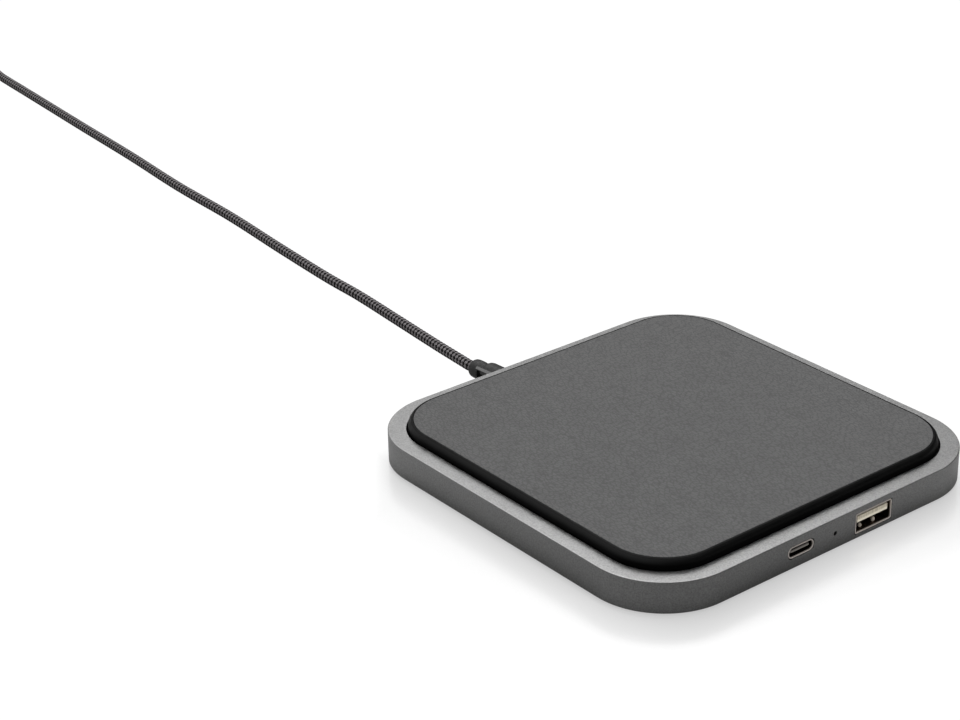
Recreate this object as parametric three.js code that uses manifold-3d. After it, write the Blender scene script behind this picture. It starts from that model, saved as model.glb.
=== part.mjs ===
// Square wireless charging pad with a leather-grain top, a USB-A and a USB-C socket and a captive cable.
// Millimetres, +Z up. The origin is the centre of the footprint, on the table. The sockets face -Y and the
// cable leaves towards +Y.

import * as THREE from 'three';
import { mergeVertices } from 'three/addons/utils/BufferGeometryUtils.js';
import Module from 'manifold-3d';

const wasm = await Module();
wasm.setup();

// ---------------------------------------------------------------- driving dimensions

const SIDE = 120;                 // outside width and depth of the metal housing
const CORNER = 21.2;              // outside corner radius of the housing
const FOOT = 0.6;                 // how far the anti-slip pad stands below the housing
const BODY_HEIGHT = 8.8;          // height of the housing's side wall
const WALL = 2.0;                 // thickness of the side wall
const RIM_THICKNESS = 1.6;        // thickness of the flat rim
const EDGE_CHAMFER = 0.25;        // broken edge around the rim
const RIM_WIDTH = 5.05;           // from the outside of the wall to the rim's opening

const PEDESTAL_HALF = 54.7;       // half width of the black pedestal where it meets the rim
const PEDESTAL_CORNER = 16.6;
const PEDESTAL_SLOPE = 1.2;       // how far the pedestal's upper edge draws in
const PEDESTAL_SLOPE_HEIGHT = 1.5;
const LEATHER_HALF = 53.35;
const LEATHER_CORNER = 15.4;
const LEATHER_THICKNESS = 0.8;
const LEATHER_PROUD = 0.1;        // leather above the pedestal's lip
const TOP_RISE = 2.85;            // leather face above the rim
const PLATE_THICKNESS = 1.65;     // plastic between the leather and the coil
const SHOULDER_HALF = 57.4;       // flange of the top plate, trapped under the rim
const SHOULDER_THICKNESS = 0.7;
const SHOULDER_GAP = 0.2;         // between that flange and the rim
const POCKET_HALF = 51;           // hollow under the top plate
const POCKET_CORNER = 12.5;

const COVER_THICKNESS = 1.1;
const COVER_SCREW = { head: 1.8, headHeight: 0.6, shank: 0.9, length: 4, sink: 0.7 };
const SEAM = 0.3;                 // gap around the underside cover
const GRIP_HALF = 38;             // anti-slip pad
const GRIP_CORNER = 12;
const GRIP_RECESS = 0.2;
const POST_AT = 47.5;             // screw posts, from the centre in X and in Y
const POST_RADIUS = 3;

const BOARD_BOTTOM = 2.4;
const BOARD_THICKNESS = 1.1;
const BOARD_HALF_WIDTH = 43;
const BOARD_FRONT = -57;
const BOARD_BACK = 32;
const BOARD_CORNER = 3;
const BOARD_SCREW = { head: 1.7, headHeight: 0.8, shank: 0.8, length: 2.2, boss: 2.4 };
const SCREW_CLEARANCE = 0.3;      // hole radius over a screw's shank
const THREAD_CLEARANCE = 0.05;    // bore radius over a screw's shank, where it bites

const COIL_OUTER = 22;
const COIL_INNER = 10;
const COIL_TURNS = 6;             // crests across the winding
const COIL_THICKNESS = 1.6;
const FERRITE_RADIUS = 25;
const FERRITE_THICKNESS = 1.6;
const TAPE_THICKNESS = 0.15;
const COIL_LEAD_RADIUS = 0.5;

const USB_A = { x: 14.5, z: 4.7, width: 13.2, height: 5.7, depth: 14, wall: 0.3, clearance: 0.15 };
const USB_C = { x: -11.6, z: 5.15, width: 8.94, height: 3.16, depth: 7.35, wall: 0.3, clearance: 0.25 };
const SOCKET_SETBACK = 0.1;       // socket mouths behind the wall's face
const USB_A_TONGUE = { front: 0.4, halfWidth: 5.6, bottom: -0.05, thickness: 1.84, blockDepth: 3.2 };
const USB_C_TONGUE = { front: 0.5, halfWidth: 3.35, thickness: 0.7, blockDepth: 2 };
const INSULATOR_GAP = 0.05;       // between an insulator's block and its shell
const CONTACT_OFFSETS = [-3.5, -1, 1, 3.5];
const CONTACT_HALF = 0.5;         // half the width of a contact
const LED = { x: 0.5, z: 5.05, hole: 0.55, pin: 0.42, setback: 0.9, collar: 1.2, collarLength: 3.3 };

const CABLE_RADIUS = 1.6;
const CABLE_GAP = 0.3;            // between two lengths of cable
const CABLE_LEAD_RADIUS = 0.6;
const BOOT = { x: -8.5, z: 5.2, hole: 2.5, length: 13.4, stub: 15.9, droop: THREE.MathUtils.degToRad(3.2) };
const PLUG = { x: 17.2, y: 434, z: 3.75, width: 15.6, height: 7.5, corner: 2.6, length: 24, neck: 6.5 };
const PLUG_NOSE = { length: 12, width: 12, height: 4.5, wall: 0.3, gap: 0.05 };
const PLUG_WINDOW = { x: 2.9, half: 1.1, front: 5.2, back: 7.6 };
const PLUG_TONGUE_THICKNESS = 1.8;

const ARC_STEPS = 6;              // half the facets in a quarter of a large corner
const ROUND_STEPS = 16;           // facets around a small round part
const COIL_FACETS = 28;           // facets around the coil and its ferrite
const SMALL_ARC_STEPS = 2;        // half the facets in a quarter of a small corner

// ---------------------------------------------------------------- levels worked out from those

const HALF = SIDE / 2;
const HOUSING_BOTTOM = FOOT;
const RIM_TOP = FOOT + BODY_HEIGHT;
const RIM_BOTTOM = RIM_TOP - RIM_THICKNESS;
const LEATHER_TOP = RIM_TOP + TOP_RISE;
const LEATHER_BOTTOM = LEATHER_TOP - LEATHER_THICKNESS;
const LIP_TOP = LEATHER_TOP - LEATHER_PROUD;
const POCKET_TOP = LEATHER_BOTTOM - PLATE_THICKNESS;
const SHOULDER_TOP = RIM_BOTTOM - SHOULDER_GAP;
const SHOULDER_BOTTOM = SHOULDER_TOP - SHOULDER_THICKNESS;
const COVER_TOP = HOUSING_BOTTOM + COVER_THICKNESS;
const BOARD_TOP = BOARD_BOTTOM + BOARD_THICKNESS;
const COIL_TOP = POCKET_TOP - TAPE_THICKNESS;
const COIL_BOTTOM = COIL_TOP - COIL_THICKNESS;
const FERRITE_BOTTOM = COIL_BOTTOM - FERRITE_THICKNESS;
const SOCKET_FRONT = -HALF + SOCKET_SETBACK;
const POSTS = [[-1, -1], [1, -1], [-1, 1], [1, 1]].map(([sx, sy]) => [sx * POST_AT, sy * POST_AT]);
const BOARD_SCREWS = [[-37, -30], [37, -30], [0, 28]];

// ---------------------------------------------------------------- finishes

function finish(color, roughness, metalness) {
  return new THREE.MeshStandardMaterial({ color, roughness, metalness });
}

const FINISH = {
  anodised: () => finish(0x8a8b8a, 0.42, 0.9),
  blackPlastic: () => finish(0x141414, 0.5, 0),
  leather: () => finish(0x5e5e5d, 0.62, 0),
  rubber: () => finish(0x1b1b1b, 0.85, 0),
  steel: () => finish(0xb9b6b0, 0.3, 1),
  blackSteel: () => finish(0x2c2c2e, 0.4, 0.8),
  cream: () => finish(0xd9d2bf, 0.5, 0),
  gold: () => finish(0xc9a35a, 0.3, 1),
  copper: () => finish(0xb4693a, 0.45, 0.8),
  ferrite: () => finish(0x3a3a3c, 0.7, 0.1),
  tape: () => finish(0xd8b24a, 0.5, 0),
  board: () => finish(0x1e5a38, 0.5, 0),
  chip: () => finish(0x202022, 0.55, 0),
  ceramic: () => finish(0xa98a62, 0.6, 0),
  clear: () => finish(0xe8eef0, 0.15, 0),
  braid: () => finish(0x2a2a2b, 0.8, 0),
  redWire: () => finish(0xa01c1c, 0.5, 0),
  blackWire: () => finish(0x181818, 0.5, 0),
};

// ---------------------------------------------------------------- geometry helpers

function solid(geometry) {
  const bare = geometry.clone();
  bare.deleteAttribute('normal');
  bare.deleteAttribute('uv');
  const merged = mergeVertices(bare, 1e-4);
  return new wasm.Manifold(new wasm.Mesh({
    numProp: 3,
    vertProperties: new Float32Array(merged.attributes.position.array),
    triVerts: new Uint32Array(merged.index.array),
  }));
}

function geometryOf(manifold) {
  const mesh = manifold.getMesh();
  const geometry = new THREE.BufferGeometry();
  geometry.setAttribute('position', new THREE.BufferAttribute(mesh.vertProperties, 3));
  geometry.setIndex(new THREE.BufferAttribute(mesh.triVerts, 1));
  geometry.computeVertexNormals();
  return geometry;
}

function cut(base, ...tools) {
  return geometryOf(tools.reduce((body, tool) => body.subtract(solid(tool)), solid(base)));
}

function join(base, ...others) {
  return geometryOf(others.reduce((body, other) => body.add(solid(other)), solid(base)));
}

function roundedRectangle(halfX, halfY, radius) {
  const shape = new THREE.Shape();
  const quarter = Math.PI / 2;
  shape.absarc(halfX - radius, halfY - radius, radius, 0, quarter);
  shape.absarc(radius - halfX, halfY - radius, radius, quarter, 2 * quarter);
  shape.absarc(radius - halfX, radius - halfY, radius, 2 * quarter, 3 * quarter);
  shape.absarc(halfX - radius, radius - halfY, radius, 3 * quarter, 4 * quarter);
  return shape;
}

function roundedSquare(half, radius) {
  return roundedRectangle(half, half, radius);
}

// An upright prism between two heights.
function prism(shape, bottom, top, steps = ARC_STEPS) {
  const geometry = new THREE.ExtrudeGeometry(shape, {
    depth: top - bottom, bevelEnabled: false, curveSegments: steps,
  });
  return geometry.translate(0, 0, bottom);
}

// An upright prism whose two ends draw in by `inset` over a height of `rise`.
function easedPrism(shape, bottom, top, inset, rise, segments = 1) {
  const geometry = new THREE.ExtrudeGeometry(shape, {
    depth: top - bottom - 2 * rise,
    bevelEnabled: true,
    bevelThickness: rise,
    bevelSize: inset,
    bevelOffset: -inset,
    bevelSegments: segments,
    curveSegments: ARC_STEPS,
  });
  return geometry.translate(0, 0, bottom + rise);
}

// A prism that runs towards +Y from `front`, with its outline drawn in X and Z.
function prismAlongY(shape, front, depth, steps = ARC_STEPS) {
  const geometry = new THREE.ExtrudeGeometry(shape, {
    depth, bevelEnabled: false, curveSegments: steps,
  });
  return geometry.rotateX(Math.PI / 2).translate(0, front + depth, 0);
}

function box(low, high) {
  const size = high.map((value, axis) => value - low[axis]);
  const geometry = new THREE.BoxGeometry(...size);
  return geometry.translate(...low.map((value, axis) => value + size[axis] / 2));
}

function upright(x, y, radius, bottom, top, steps = ROUND_STEPS) {
  const geometry = new THREE.CylinderGeometry(radius, radius, top - bottom, steps);
  return geometry.rotateX(Math.PI / 2).translate(x, y, (bottom + top) / 2);
}

function alongY(x, z, radius, front, back, steps = ROUND_STEPS) {
  const geometry = new THREE.CylinderGeometry(radius, radius, back - front, steps);
  return geometry.translate(x, (front + back) / 2, z);
}

function circle(radius) {
  const shape = new THREE.Shape();
  shape.absarc(0, 0, radius, 0, 2 * Math.PI);
  return shape;
}

function tube(curve, radius, steps, sides = 8) {
  return new THREE.ExtrudeGeometry(circle(radius), {
    steps, extrudePath: curve, curveSegments: sides / 2, bevelEnabled: false,
  });
}

const pad = new THREE.Group();

function place(name, geometry, material, parent = pad) {
  const mesh = new THREE.Mesh(geometry, material);
  mesh.name = name;
  parent.add(mesh);
  return mesh;
}

// ---------------------------------------------------------------- shells

function usbAOpening() {
  const grow = USB_A.clearance;
  return box(
    [USB_A.x - USB_A.width / 2 - grow, -HALF - 1, USB_A.z - USB_A.height / 2 - grow],
    [USB_A.x + USB_A.width / 2 + grow, -HALF + WALL + 1, USB_A.z + USB_A.height / 2 + grow],
  );
}

function usbCOutline(grow) {
  const halfX = USB_C.width / 2 + grow;
  const halfZ = USB_C.height / 2 + grow;
  return roundedRectangle(halfX, halfZ, halfZ * 0.96);
}

function usbCOpening() {
  const opening = prismAlongY(usbCOutline(USB_C.clearance), -HALF - 1, WALL + 2, 3);
  return opening.translate(USB_C.x, 0, USB_C.z);
}

function housing() {
  const outside = easedPrism(
    roundedSquare(HALF, CORNER), HOUSING_BOTTOM, RIM_TOP, EDGE_CHAMFER, EDGE_CHAMFER,
  );
  const inside = prism(roundedSquare(HALF - WALL, CORNER - WALL), HOUSING_BOTTOM - 1, RIM_BOTTOM);
  const opening = prism(
    roundedSquare(HALF - RIM_WIDTH, CORNER - RIM_WIDTH), RIM_BOTTOM - 1, RIM_TOP + 1,
  );
  const ledHole = alongY(LED.x, LED.z, LED.hole, -HALF - 1, -HALF + WALL + 1);
  const bootHole = alongY(BOOT.x, BOOT.z, BOOT.hole, HALF - WALL - 1, HALF + 1);
  return cut(outside, inside, opening, usbAOpening(), usbCOpening(), ledHole, bootHole);
}

// Where the shoulder and the skirt of the top plate make room for the USB-A shell and the boot.
function topPlateNotches() {
  const room = 0.5;
  const reach = USB_A.width / 2 + room;
  const usbA = box(
    [USB_A.x - reach, -HALF, SHOULDER_BOTTOM - 1],
    [USB_A.x + reach, SOCKET_FRONT + USB_A.depth + room, USB_A.z + USB_A.height / 2 + 0.3],
  );
  const half = BOOT_FLANGE.halfWidth + room;
  const boot = box(
    [BOOT.x - half, HALF - 6, SHOULDER_BOTTOM - 1], [BOOT.x + half, HALF, SHOULDER_TOP + 1],
  );
  return [usbA, boot];
}

function topPlate() {
  const pedestal = easedPrism(
    roundedSquare(PEDESTAL_HALF, PEDESTAL_CORNER),
    RIM_TOP - PEDESTAL_SLOPE_HEIGHT,
    LIP_TOP,
    PEDESTAL_SLOPE,
    PEDESTAL_SLOPE_HEIGHT,
    3,
  );
  const skirt = prism(roundedSquare(PEDESTAL_HALF, PEDESTAL_CORNER), SHOULDER_BOTTOM, RIM_TOP);
  const shoulderCorner = CORNER - (HALF - SHOULDER_HALF);
  const shoulder = prism(
    roundedSquare(SHOULDER_HALF, shoulderCorner), SHOULDER_BOTTOM, SHOULDER_TOP,
  );
  const posts = POSTS.map(([x, y]) => upright(x, y, POST_RADIUS, COVER_TOP, POCKET_TOP));
  const pocket = prism(roundedSquare(POCKET_HALF, POCKET_CORNER), SHOULDER_BOTTOM - 5, POCKET_TOP);
  const inlay = prism(
    roundedSquare(LEATHER_HALF + 0.1, LEATHER_CORNER + 0.1), LEATHER_BOTTOM, LEATHER_TOP + 1,
  );
  const bore = COVER_SCREW.shank + THREAD_CLEARANCE;
  const threads = POSTS.map(([x, y]) => (
    upright(x, y, bore, COVER_TOP - 1, COVER_TOP + COVER_SCREW.length)
  ));
  const shell = join(pedestal, skirt, shoulder);
  const hollow = cut(shell, pocket, inlay, ...topPlateNotches());
  return cut(join(hollow, ...posts), ...threads);
}

function leatherPad() {
  return prism(roundedSquare(LEATHER_HALF, LEATHER_CORNER), LEATHER_BOTTOM, LEATHER_TOP);
}

function baseCover() {
  const half = HALF - WALL - SEAM;
  const plate = prism(roundedSquare(half, CORNER - WALL - SEAM), HOUSING_BOTTOM, COVER_TOP);
  const bosses = BOARD_SCREWS.map(([x, y]) => (
    upright(x, y, BOARD_SCREW.boss, COVER_TOP - 0.5, BOARD_BOTTOM)
  ));
  const grow = 0.15;
  const recess = prism(
    roundedSquare(GRIP_HALF + grow, GRIP_CORNER + grow), HOUSING_BOTTOM - 1, HOUSING_BOTTOM + GRIP_RECESS,
  );
  const counterbores = POSTS.map(([x, y]) => (
    upright(x, y, COVER_SCREW.head + 0.2, HOUSING_BOTTOM - 1, HOUSING_BOTTOM + COVER_SCREW.sink)
  ));
  const clearances = POSTS.map(([x, y]) => (
    upright(x, y, COVER_SCREW.shank + SCREW_CLEARANCE, HOUSING_BOTTOM - 1, COVER_TOP + 1)
  ));
  const bore = BOARD_SCREW.shank + THREAD_CLEARANCE;
  const threads = BOARD_SCREWS.map(([x, y]) => upright(x, y, bore, COVER_TOP - 0.7, BOARD_BOTTOM + 1));
  return cut(join(plate, ...bosses), recess, ...counterbores, ...clearances, ...threads);
}

function antiSlipPad() {
  return prism(roundedSquare(GRIP_HALF, GRIP_CORNER), 0, HOUSING_BOTTOM + GRIP_RECESS);
}

// A pan-head screw with a cross slot, head up, with its head resting at height zero.
function screw({ head, headHeight, shank, length }) {
  const profile = [
    [0, -length], [shank, -length], [shank, 0],
    [head, 0], [head, headHeight * 0.6], [head * 0.8, headHeight], [0, headHeight],
  ].map(([r, y]) => new THREE.Vector2(r, y));
  const turned = new THREE.LatheGeometry(profile, ROUND_STEPS).rotateX(Math.PI / 2);
  const long = head * 0.62;
  const narrow = head * 0.12;
  const bar = (halfX, halfY) => (
    box([-halfX, -halfY, headHeight * 0.5], [halfX, halfY, headHeight + 1])
  );
  return cut(turned, bar(long, narrow), bar(narrow, long));
}

// ---------------------------------------------------------------- electronics

function mainBoard() {
  const outline = roundedRectangle(BOARD_HALF_WIDTH, (BOARD_BACK - BOARD_FRONT) / 2, BOARD_CORNER);
  const plate = prism(outline, BOARD_BOTTOM, BOARD_TOP, SMALL_ARC_STEPS)
    .translate(0, (BOARD_BACK + BOARD_FRONT) / 2, 0);
  const room = 0.3;
  const notch = box(
    [USB_A.x - USB_A.width / 2 - room, BOARD_FRONT - 1, BOARD_BOTTOM - 1],
    [USB_A.x + USB_A.width / 2 + room, SOCKET_FRONT + USB_A.depth + room, BOARD_TOP + 1],
  );
  const hole = BOARD_SCREW.shank + SCREW_CLEARANCE;
  const holes = BOARD_SCREWS.map(([x, y]) => upright(x, y, hole, BOARD_BOTTOM - 1, BOARD_TOP + 1));
  return cut(plate, notch, ...holes);
}

// Flat round winding: its two faces are scalloped, one crest for each turn.
function coilWinding() {
  const pitch = (COIL_OUTER - COIL_INNER) / COIL_TURNS;
  const crest = COIL_THICKNESS / 2;
  const valley = crest - 0.25;
  const face = (sign) => Array.from({ length: COIL_TURNS * 2 + 1 }, (_, step) => {
    const height = step % 2 === 0 ? valley : crest;
    return new THREE.Vector2(COIL_INNER + step * pitch / 2, sign * height);
  });
  const profile = [...face(-1), ...face(1).reverse()];
  profile.push(profile[0].clone());
  const middle = (COIL_TOP + COIL_BOTTOM) / 2;
  return new THREE.LatheGeometry(profile, COIL_FACETS).rotateX(Math.PI / 2).translate(0, 0, middle);
}

// Disc behind the coil, with the slot that the inner lead runs down.
function ferriteDisc() {
  const disc = upright(0, 0, FERRITE_RADIUS, FERRITE_BOTTOM, COIL_BOTTOM, COIL_FACETS);
  const slot = box(
    [-1.2, -FERRITE_RADIUS - 1, FERRITE_BOTTOM - 1], [1.2, -COIL_INNER + 4, COIL_BOTTOM + 1],
  );
  return cut(disc, slot);
}

function coilTape() {
  const ring = circle(COIL_OUTER);
  ring.holes.push(circle(COIL_INNER));
  return prism(ring, COIL_TOP, POCKET_TOP, COIL_FACETS / 2);
}

// The coil's two leads, each from the winding down to the board.
const COIL_LEAD_INNER = [[0, -9.2, 8.6], [0, -9.2, 6.6], [0, -13, 5.4], [0, -20, 4.1]];
const COIL_LEAD_OUTER = [
  [4, -22.7, 8.9], [4, -25.6, 8.8], [4, -26.6, 7.2], [4, -26.2, 5.2], [4, -22, 4.1],
];

// The cable's two cores, from the boot to the board.
const CORE_POSITIVE = [[-9.4, 55.7, 5.2], [-9.6, 48, 5.0], [-12, 38, 4.4], [-12, 28, 4.15]];
const CORE_NEGATIVE = [[-7.4, 55.7, 5.2], [-7.2, 48, 5.0], [-8, 38, 4.4], [-8, 28, 4.15]];

function lead(points, radius) {
  const curve = new THREE.CatmullRomCurve3(points.map((point) => new THREE.Vector3(...point)));
  return tube(curve, radius, 12);
}

function chip(x, y, width, depth, height) {
  return box([x - width / 2, y - depth / 2, BOARD_TOP], [x + width / 2, y + depth / 2, BOARD_TOP + height]);
}

// Shielded inductor: a square block with chamfered corners.
function powerInductor(x, y, half, height) {
  const block = new THREE.CylinderGeometry(half * 1.3, half * 1.3, height, 8);
  const square = box([-half, -half, 0], [half, half, height]);
  const turned = block.rotateY(Math.PI / 8).rotateX(Math.PI / 2).translate(0, 0, height / 2);
  const body = geometryOf(solid(turned).intersect(solid(square)));
  return body.translate(x, y, BOARD_TOP);
}

// ---------------------------------------------------------------- sockets

function usbAShell() {
  const halfX = USB_A.width / 2;
  const halfZ = USB_A.height / 2;
  const back = SOCKET_FRONT + USB_A.depth;
  const outer = prismAlongY(roundedRectangle(halfX, halfZ, 0.5), SOCKET_FRONT, USB_A.depth, SMALL_ARC_STEPS);
  const inner = box(
    [USB_A.wall - halfX, SOCKET_FRONT - 1, USB_A.wall - halfZ],
    [halfX - USB_A.wall, back - USB_A.wall, halfZ - USB_A.wall],
  );
  return cut(outer, inner).translate(USB_A.x, 0, USB_A.z);
}

// Insulator: a thin tongue above the plug's space, on a block that fills the back of the shell.
function usbATongue() {
  const back = SOCKET_FRONT + USB_A.depth - USB_A.wall;
  const blockFront = back - USB_A_TONGUE.blockDepth;
  const halfX = USB_A.width / 2 - USB_A.wall;
  const halfZ = USB_A.height / 2 - USB_A.wall;
  const tongue = box(
    [-USB_A_TONGUE.halfWidth, SOCKET_FRONT + USB_A_TONGUE.front, USB_A_TONGUE.bottom],
    [USB_A_TONGUE.halfWidth, blockFront + 1, USB_A_TONGUE.bottom + USB_A_TONGUE.thickness],
  );
  const gap = INSULATOR_GAP;
  const block = box([gap - halfX, blockFront, gap - halfZ], [halfX - gap, back - gap, halfZ - gap]);
  return join(tongue, block).translate(USB_A.x, 0, USB_A.z);
}

function usbAContact(offset) {
  const x = USB_A.x + offset;
  const front = SOCKET_FRONT + USB_A_TONGUE.front + 0.8;
  const back = SOCKET_FRONT + USB_A.depth - USB_A.wall - USB_A_TONGUE.blockDepth - INSULATOR_GAP;
  const top = USB_A.z + USB_A_TONGUE.bottom;
  return box([x - CONTACT_HALF, front, top - 0.2], [x + CONTACT_HALF, back, top]);
}

function usbCShell() {
  const ring = usbCOutline(0);
  ring.holes.push(usbCOutline(-USB_C.wall));
  return prismAlongY(ring, SOCKET_FRONT, USB_C.depth, 3).translate(USB_C.x, 0, USB_C.z);
}

function usbCTongue() {
  const { front, halfWidth, thickness, blockDepth } = USB_C_TONGUE;
  const blockFront = SOCKET_FRONT + USB_C.depth - blockDepth;
  const block = prismAlongY(usbCOutline(-USB_C.wall - INSULATOR_GAP), blockFront, blockDepth, 3);
  const tongue = box(
    [-halfWidth, SOCKET_FRONT + front, -thickness / 2], [halfWidth, blockFront + 1, thickness / 2],
  );
  return join(block, tongue).translate(USB_C.x, 0, USB_C.z);
}

function lightPipe() {
  const collarFront = -HALF + WALL + 0.5;
  const pin = alongY(LED.x, LED.z, LED.pin, -HALF + LED.setback, collarFront + 0.5);
  const collar = alongY(LED.x, LED.z, LED.collar, collarFront, collarFront + LED.collarLength);
  return join(pin, collar);
}

// ---------------------------------------------------------------- cable

// Points that the cable lies through, from the boot's mouth to the plug.
const CABLE_POINTS = [
  [-8.5, 76, 4.3], [-6.5, 93, 3.5], [-2.9, 120, 2.2], [-0.7, 140, 1.6], [-0.1, 158, 1.6],
  [1.9, 188, 1.6], [4.6, 222, 1.6], [6.0, 258, 1.6], [8.8, 294, 1.6], [11.2, 334, 1.6],
  [14.0, 378, 1.6], [15.6, 404, 1.6], [16.6, 417, 2.7], [17.1, 426, 3.7], [17.2, 434, 3.75],
].map((point) => new THREE.Vector3(...point));
const CABLE_CURVE = new THREE.CatmullRomCurve3(CABLE_POINTS, false, 'centripetal');
const CABLE_LENGTH = CABLE_CURVE.getLength();

// Pivots of the three lengths, as distances along the cable from the boot's mouth.
const PIVOTS = { swing: CABLE_RADIUS + CABLE_GAP, lift: 66, curl: 186 };
const NOSE_ROOM = 0.5;            // from the plug's neck to the end of the cable

// The cable's centre at a distance from the boot's mouth, never lower than a cable lying on the table.
function cableCentre(distance) {
  const point = CABLE_CURVE.getPointAt(distance / CABLE_LENGTH);
  point.z = Math.max(point.z, CABLE_RADIUS);
  return point;
}

// One length of cable. It starts with a round nose centred on its pivot.
function cableLength(from, to, steps) {
  const points = Array.from({ length: steps + 1 }, (_, step) => (
    cableCentre(from + (to - from) * step / steps)
  ));
  const curve = new THREE.CatmullRomCurve3(points, false, 'centripetal');
  const nose = new THREE.SphereGeometry(CABLE_RADIUS, 12, 8).translate(...points[0].toArray());
  return join(tube(curve, CABLE_RADIUS, steps, 12), nose);
}

const BOOT_FLANGE = { front: -3.9, back: -2.3, halfWidth: 4.5, halfHeight: 1.5 };
const BOOT_SLOT = { from: 1.6, to: 9.3, x: 1.6, low: -1, high: 1.2 };
const BOOT_RIB = { from: 0.8, to: 9.4, inner: 1.6, outer: 3.62, half: 0.68, leftTilt: 40, rightTilt: 12 };

// Bar that bridges the boot's waist, its outer face turned up from the horizontal by `tilt` degrees.
function bootRib(side, tilt) {
  const { from, to, inner, outer, half } = BOOT_RIB;
  const [low, high] = side < 0 ? [-outer, -inner] : [inner, outer];
  return box([low, from, -half], [high, to, half]).rotateY(-side * THREE.MathUtils.degToRad(tilt));
}

// Moulded boot, turned about the cable's line: a flange inside the wall, a body, a waist and an end collar,
// with the fixed end of the cable standing out of its mouth. A slot and a rib run along either side.
function strainRelief() {
  const profile = [
    [0, -2.7], [BOOT.hole - 0.3, -2.7], [BOOT.hole - 0.3, 0.4], [3.3, 0.4], [3.55, 0.9], [3.55, 6.2],
    [3.1, 7.2], [2.45, 7.9], [2.4, 8.5], [2.6, 9.3], [2.75, 9.9], [2.75, 12.2], [2.6, 12.9],
    [2.2, BOOT.length], [CABLE_RADIUS, BOOT.length], [CABLE_RADIUS, BOOT.stub], [0, BOOT.stub],
  ].map(([radius, along]) => new THREE.Vector2(radius, along));
  const turned = new THREE.LatheGeometry(profile, ROUND_STEPS);
  const { front, back, halfWidth, halfHeight } = BOOT_FLANGE;
  const flange = box([-halfWidth, front, -halfHeight], [halfWidth, back, halfHeight]);
  const { from, to, x, low, high } = BOOT_SLOT;
  const left = box([-5, from, low], [-x, to, high]);
  const right = box([x, from, low], [5, to, high]);
  const slotted = cut(join(turned, flange), left, right);
  return join(slotted, bootRib(-1, BOOT_RIB.leftTilt), bootRib(1, BOOT_RIB.rightTilt));
}

// ---------------------------------------------------------------- plug

// Overmould: a grip with eased ends, a conical neck and a seat for the metal nose.
function plugBody() {
  const outline = roundedRectangle(PLUG.width / 2, PLUG.height / 2, PLUG.corner);
  const grip = new THREE.ExtrudeGeometry(outline, {
    depth: PLUG.length - 2, bevelEnabled: true, bevelThickness: 1, bevelSize: 1, bevelOffset: -1,
    bevelSegments: 2, curveSegments: SMALL_ARC_STEPS,
  }).rotateX(Math.PI / 2).translate(0, PLUG.length - 1, 0);
  const neck = new THREE.CylinderGeometry(3.4, 2.4, PLUG.neck + 1, ROUND_STEPS)
    .translate(0, (1 - PLUG.neck) / 2, 0);
  const halfX = PLUG_NOSE.width / 2;
  const seat = box([-halfX, PLUG.length - 3, -2.2], [halfX, PLUG.length + 1, 2.2]);
  return cut(join(grip, neck), seat);
}

function plugShell() {
  const halfX = PLUG_NOSE.width / 2;
  const halfZ = PLUG_NOSE.height / 2;
  const front = PLUG.length + PLUG_NOSE.gap;
  const outer = prismAlongY(roundedRectangle(halfX, halfZ, 0.4), front, PLUG_NOSE.length, SMALL_ARC_STEPS);
  const inner = box(
    [PLUG_NOSE.wall - halfX, front + PLUG_NOSE.wall, PLUG_NOSE.wall - halfZ],
    [halfX - PLUG_NOSE.wall, front + PLUG_NOSE.length + 1, halfZ - PLUG_NOSE.wall],
  );
  const { x, half, front: near, back: far } = PLUG_WINDOW;
  const windows = [-1, 1].map((side) => box(
    [side * x - half, front + near, 1], [side * x + half, front + far, halfZ + 1],
  ));
  return cut(outer, inner, ...windows);
}

const PLUG_TONGUE_BOTTOM = PLUG_NOSE.wall + PLUG_NOSE.gap - PLUG_NOSE.height / 2;

function plugTongue() {
  const halfX = PLUG_NOSE.width / 2 - PLUG_NOSE.wall - PLUG_NOSE.gap;
  const front = PLUG.length + PLUG_NOSE.wall + 2 * PLUG_NOSE.gap;
  const back = front + PLUG_NOSE.length - 1.2;
  const low = PLUG_TONGUE_BOTTOM;
  return box([-halfX, front, low], [halfX, back, low + PLUG_TONGUE_THICKNESS]);
}

function plugContact(offset) {
  const low = PLUG_TONGUE_BOTTOM + PLUG_TONGUE_THICKNESS;
  const front = PLUG.length + 2;
  return box([offset - CONTACT_HALF, front, low], [offset + CONTACT_HALF, front + 8, low + 0.15]);
}

// ---------------------------------------------------------------- assembly

function addShells() {
  place('housing', housing(), FINISH.anodised());
  place('top_plate', topPlate(), FINISH.blackPlastic());
  place('leather_pad', leatherPad(), FINISH.leather());
  place('base_cover', baseCover(), FINISH.blackPlastic());
  place('anti_slip_pad', antiSlipPad(), FINISH.rubber());
  POSTS.forEach(([x, y], index) => {
    const mesh = place(`cover_screw_${index + 1}`, screw(COVER_SCREW), FINISH.blackSteel());
    mesh.rotation.x = Math.PI;
    mesh.position.set(x, y, HOUSING_BOTTOM + COVER_SCREW.sink);
  });
}

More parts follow.
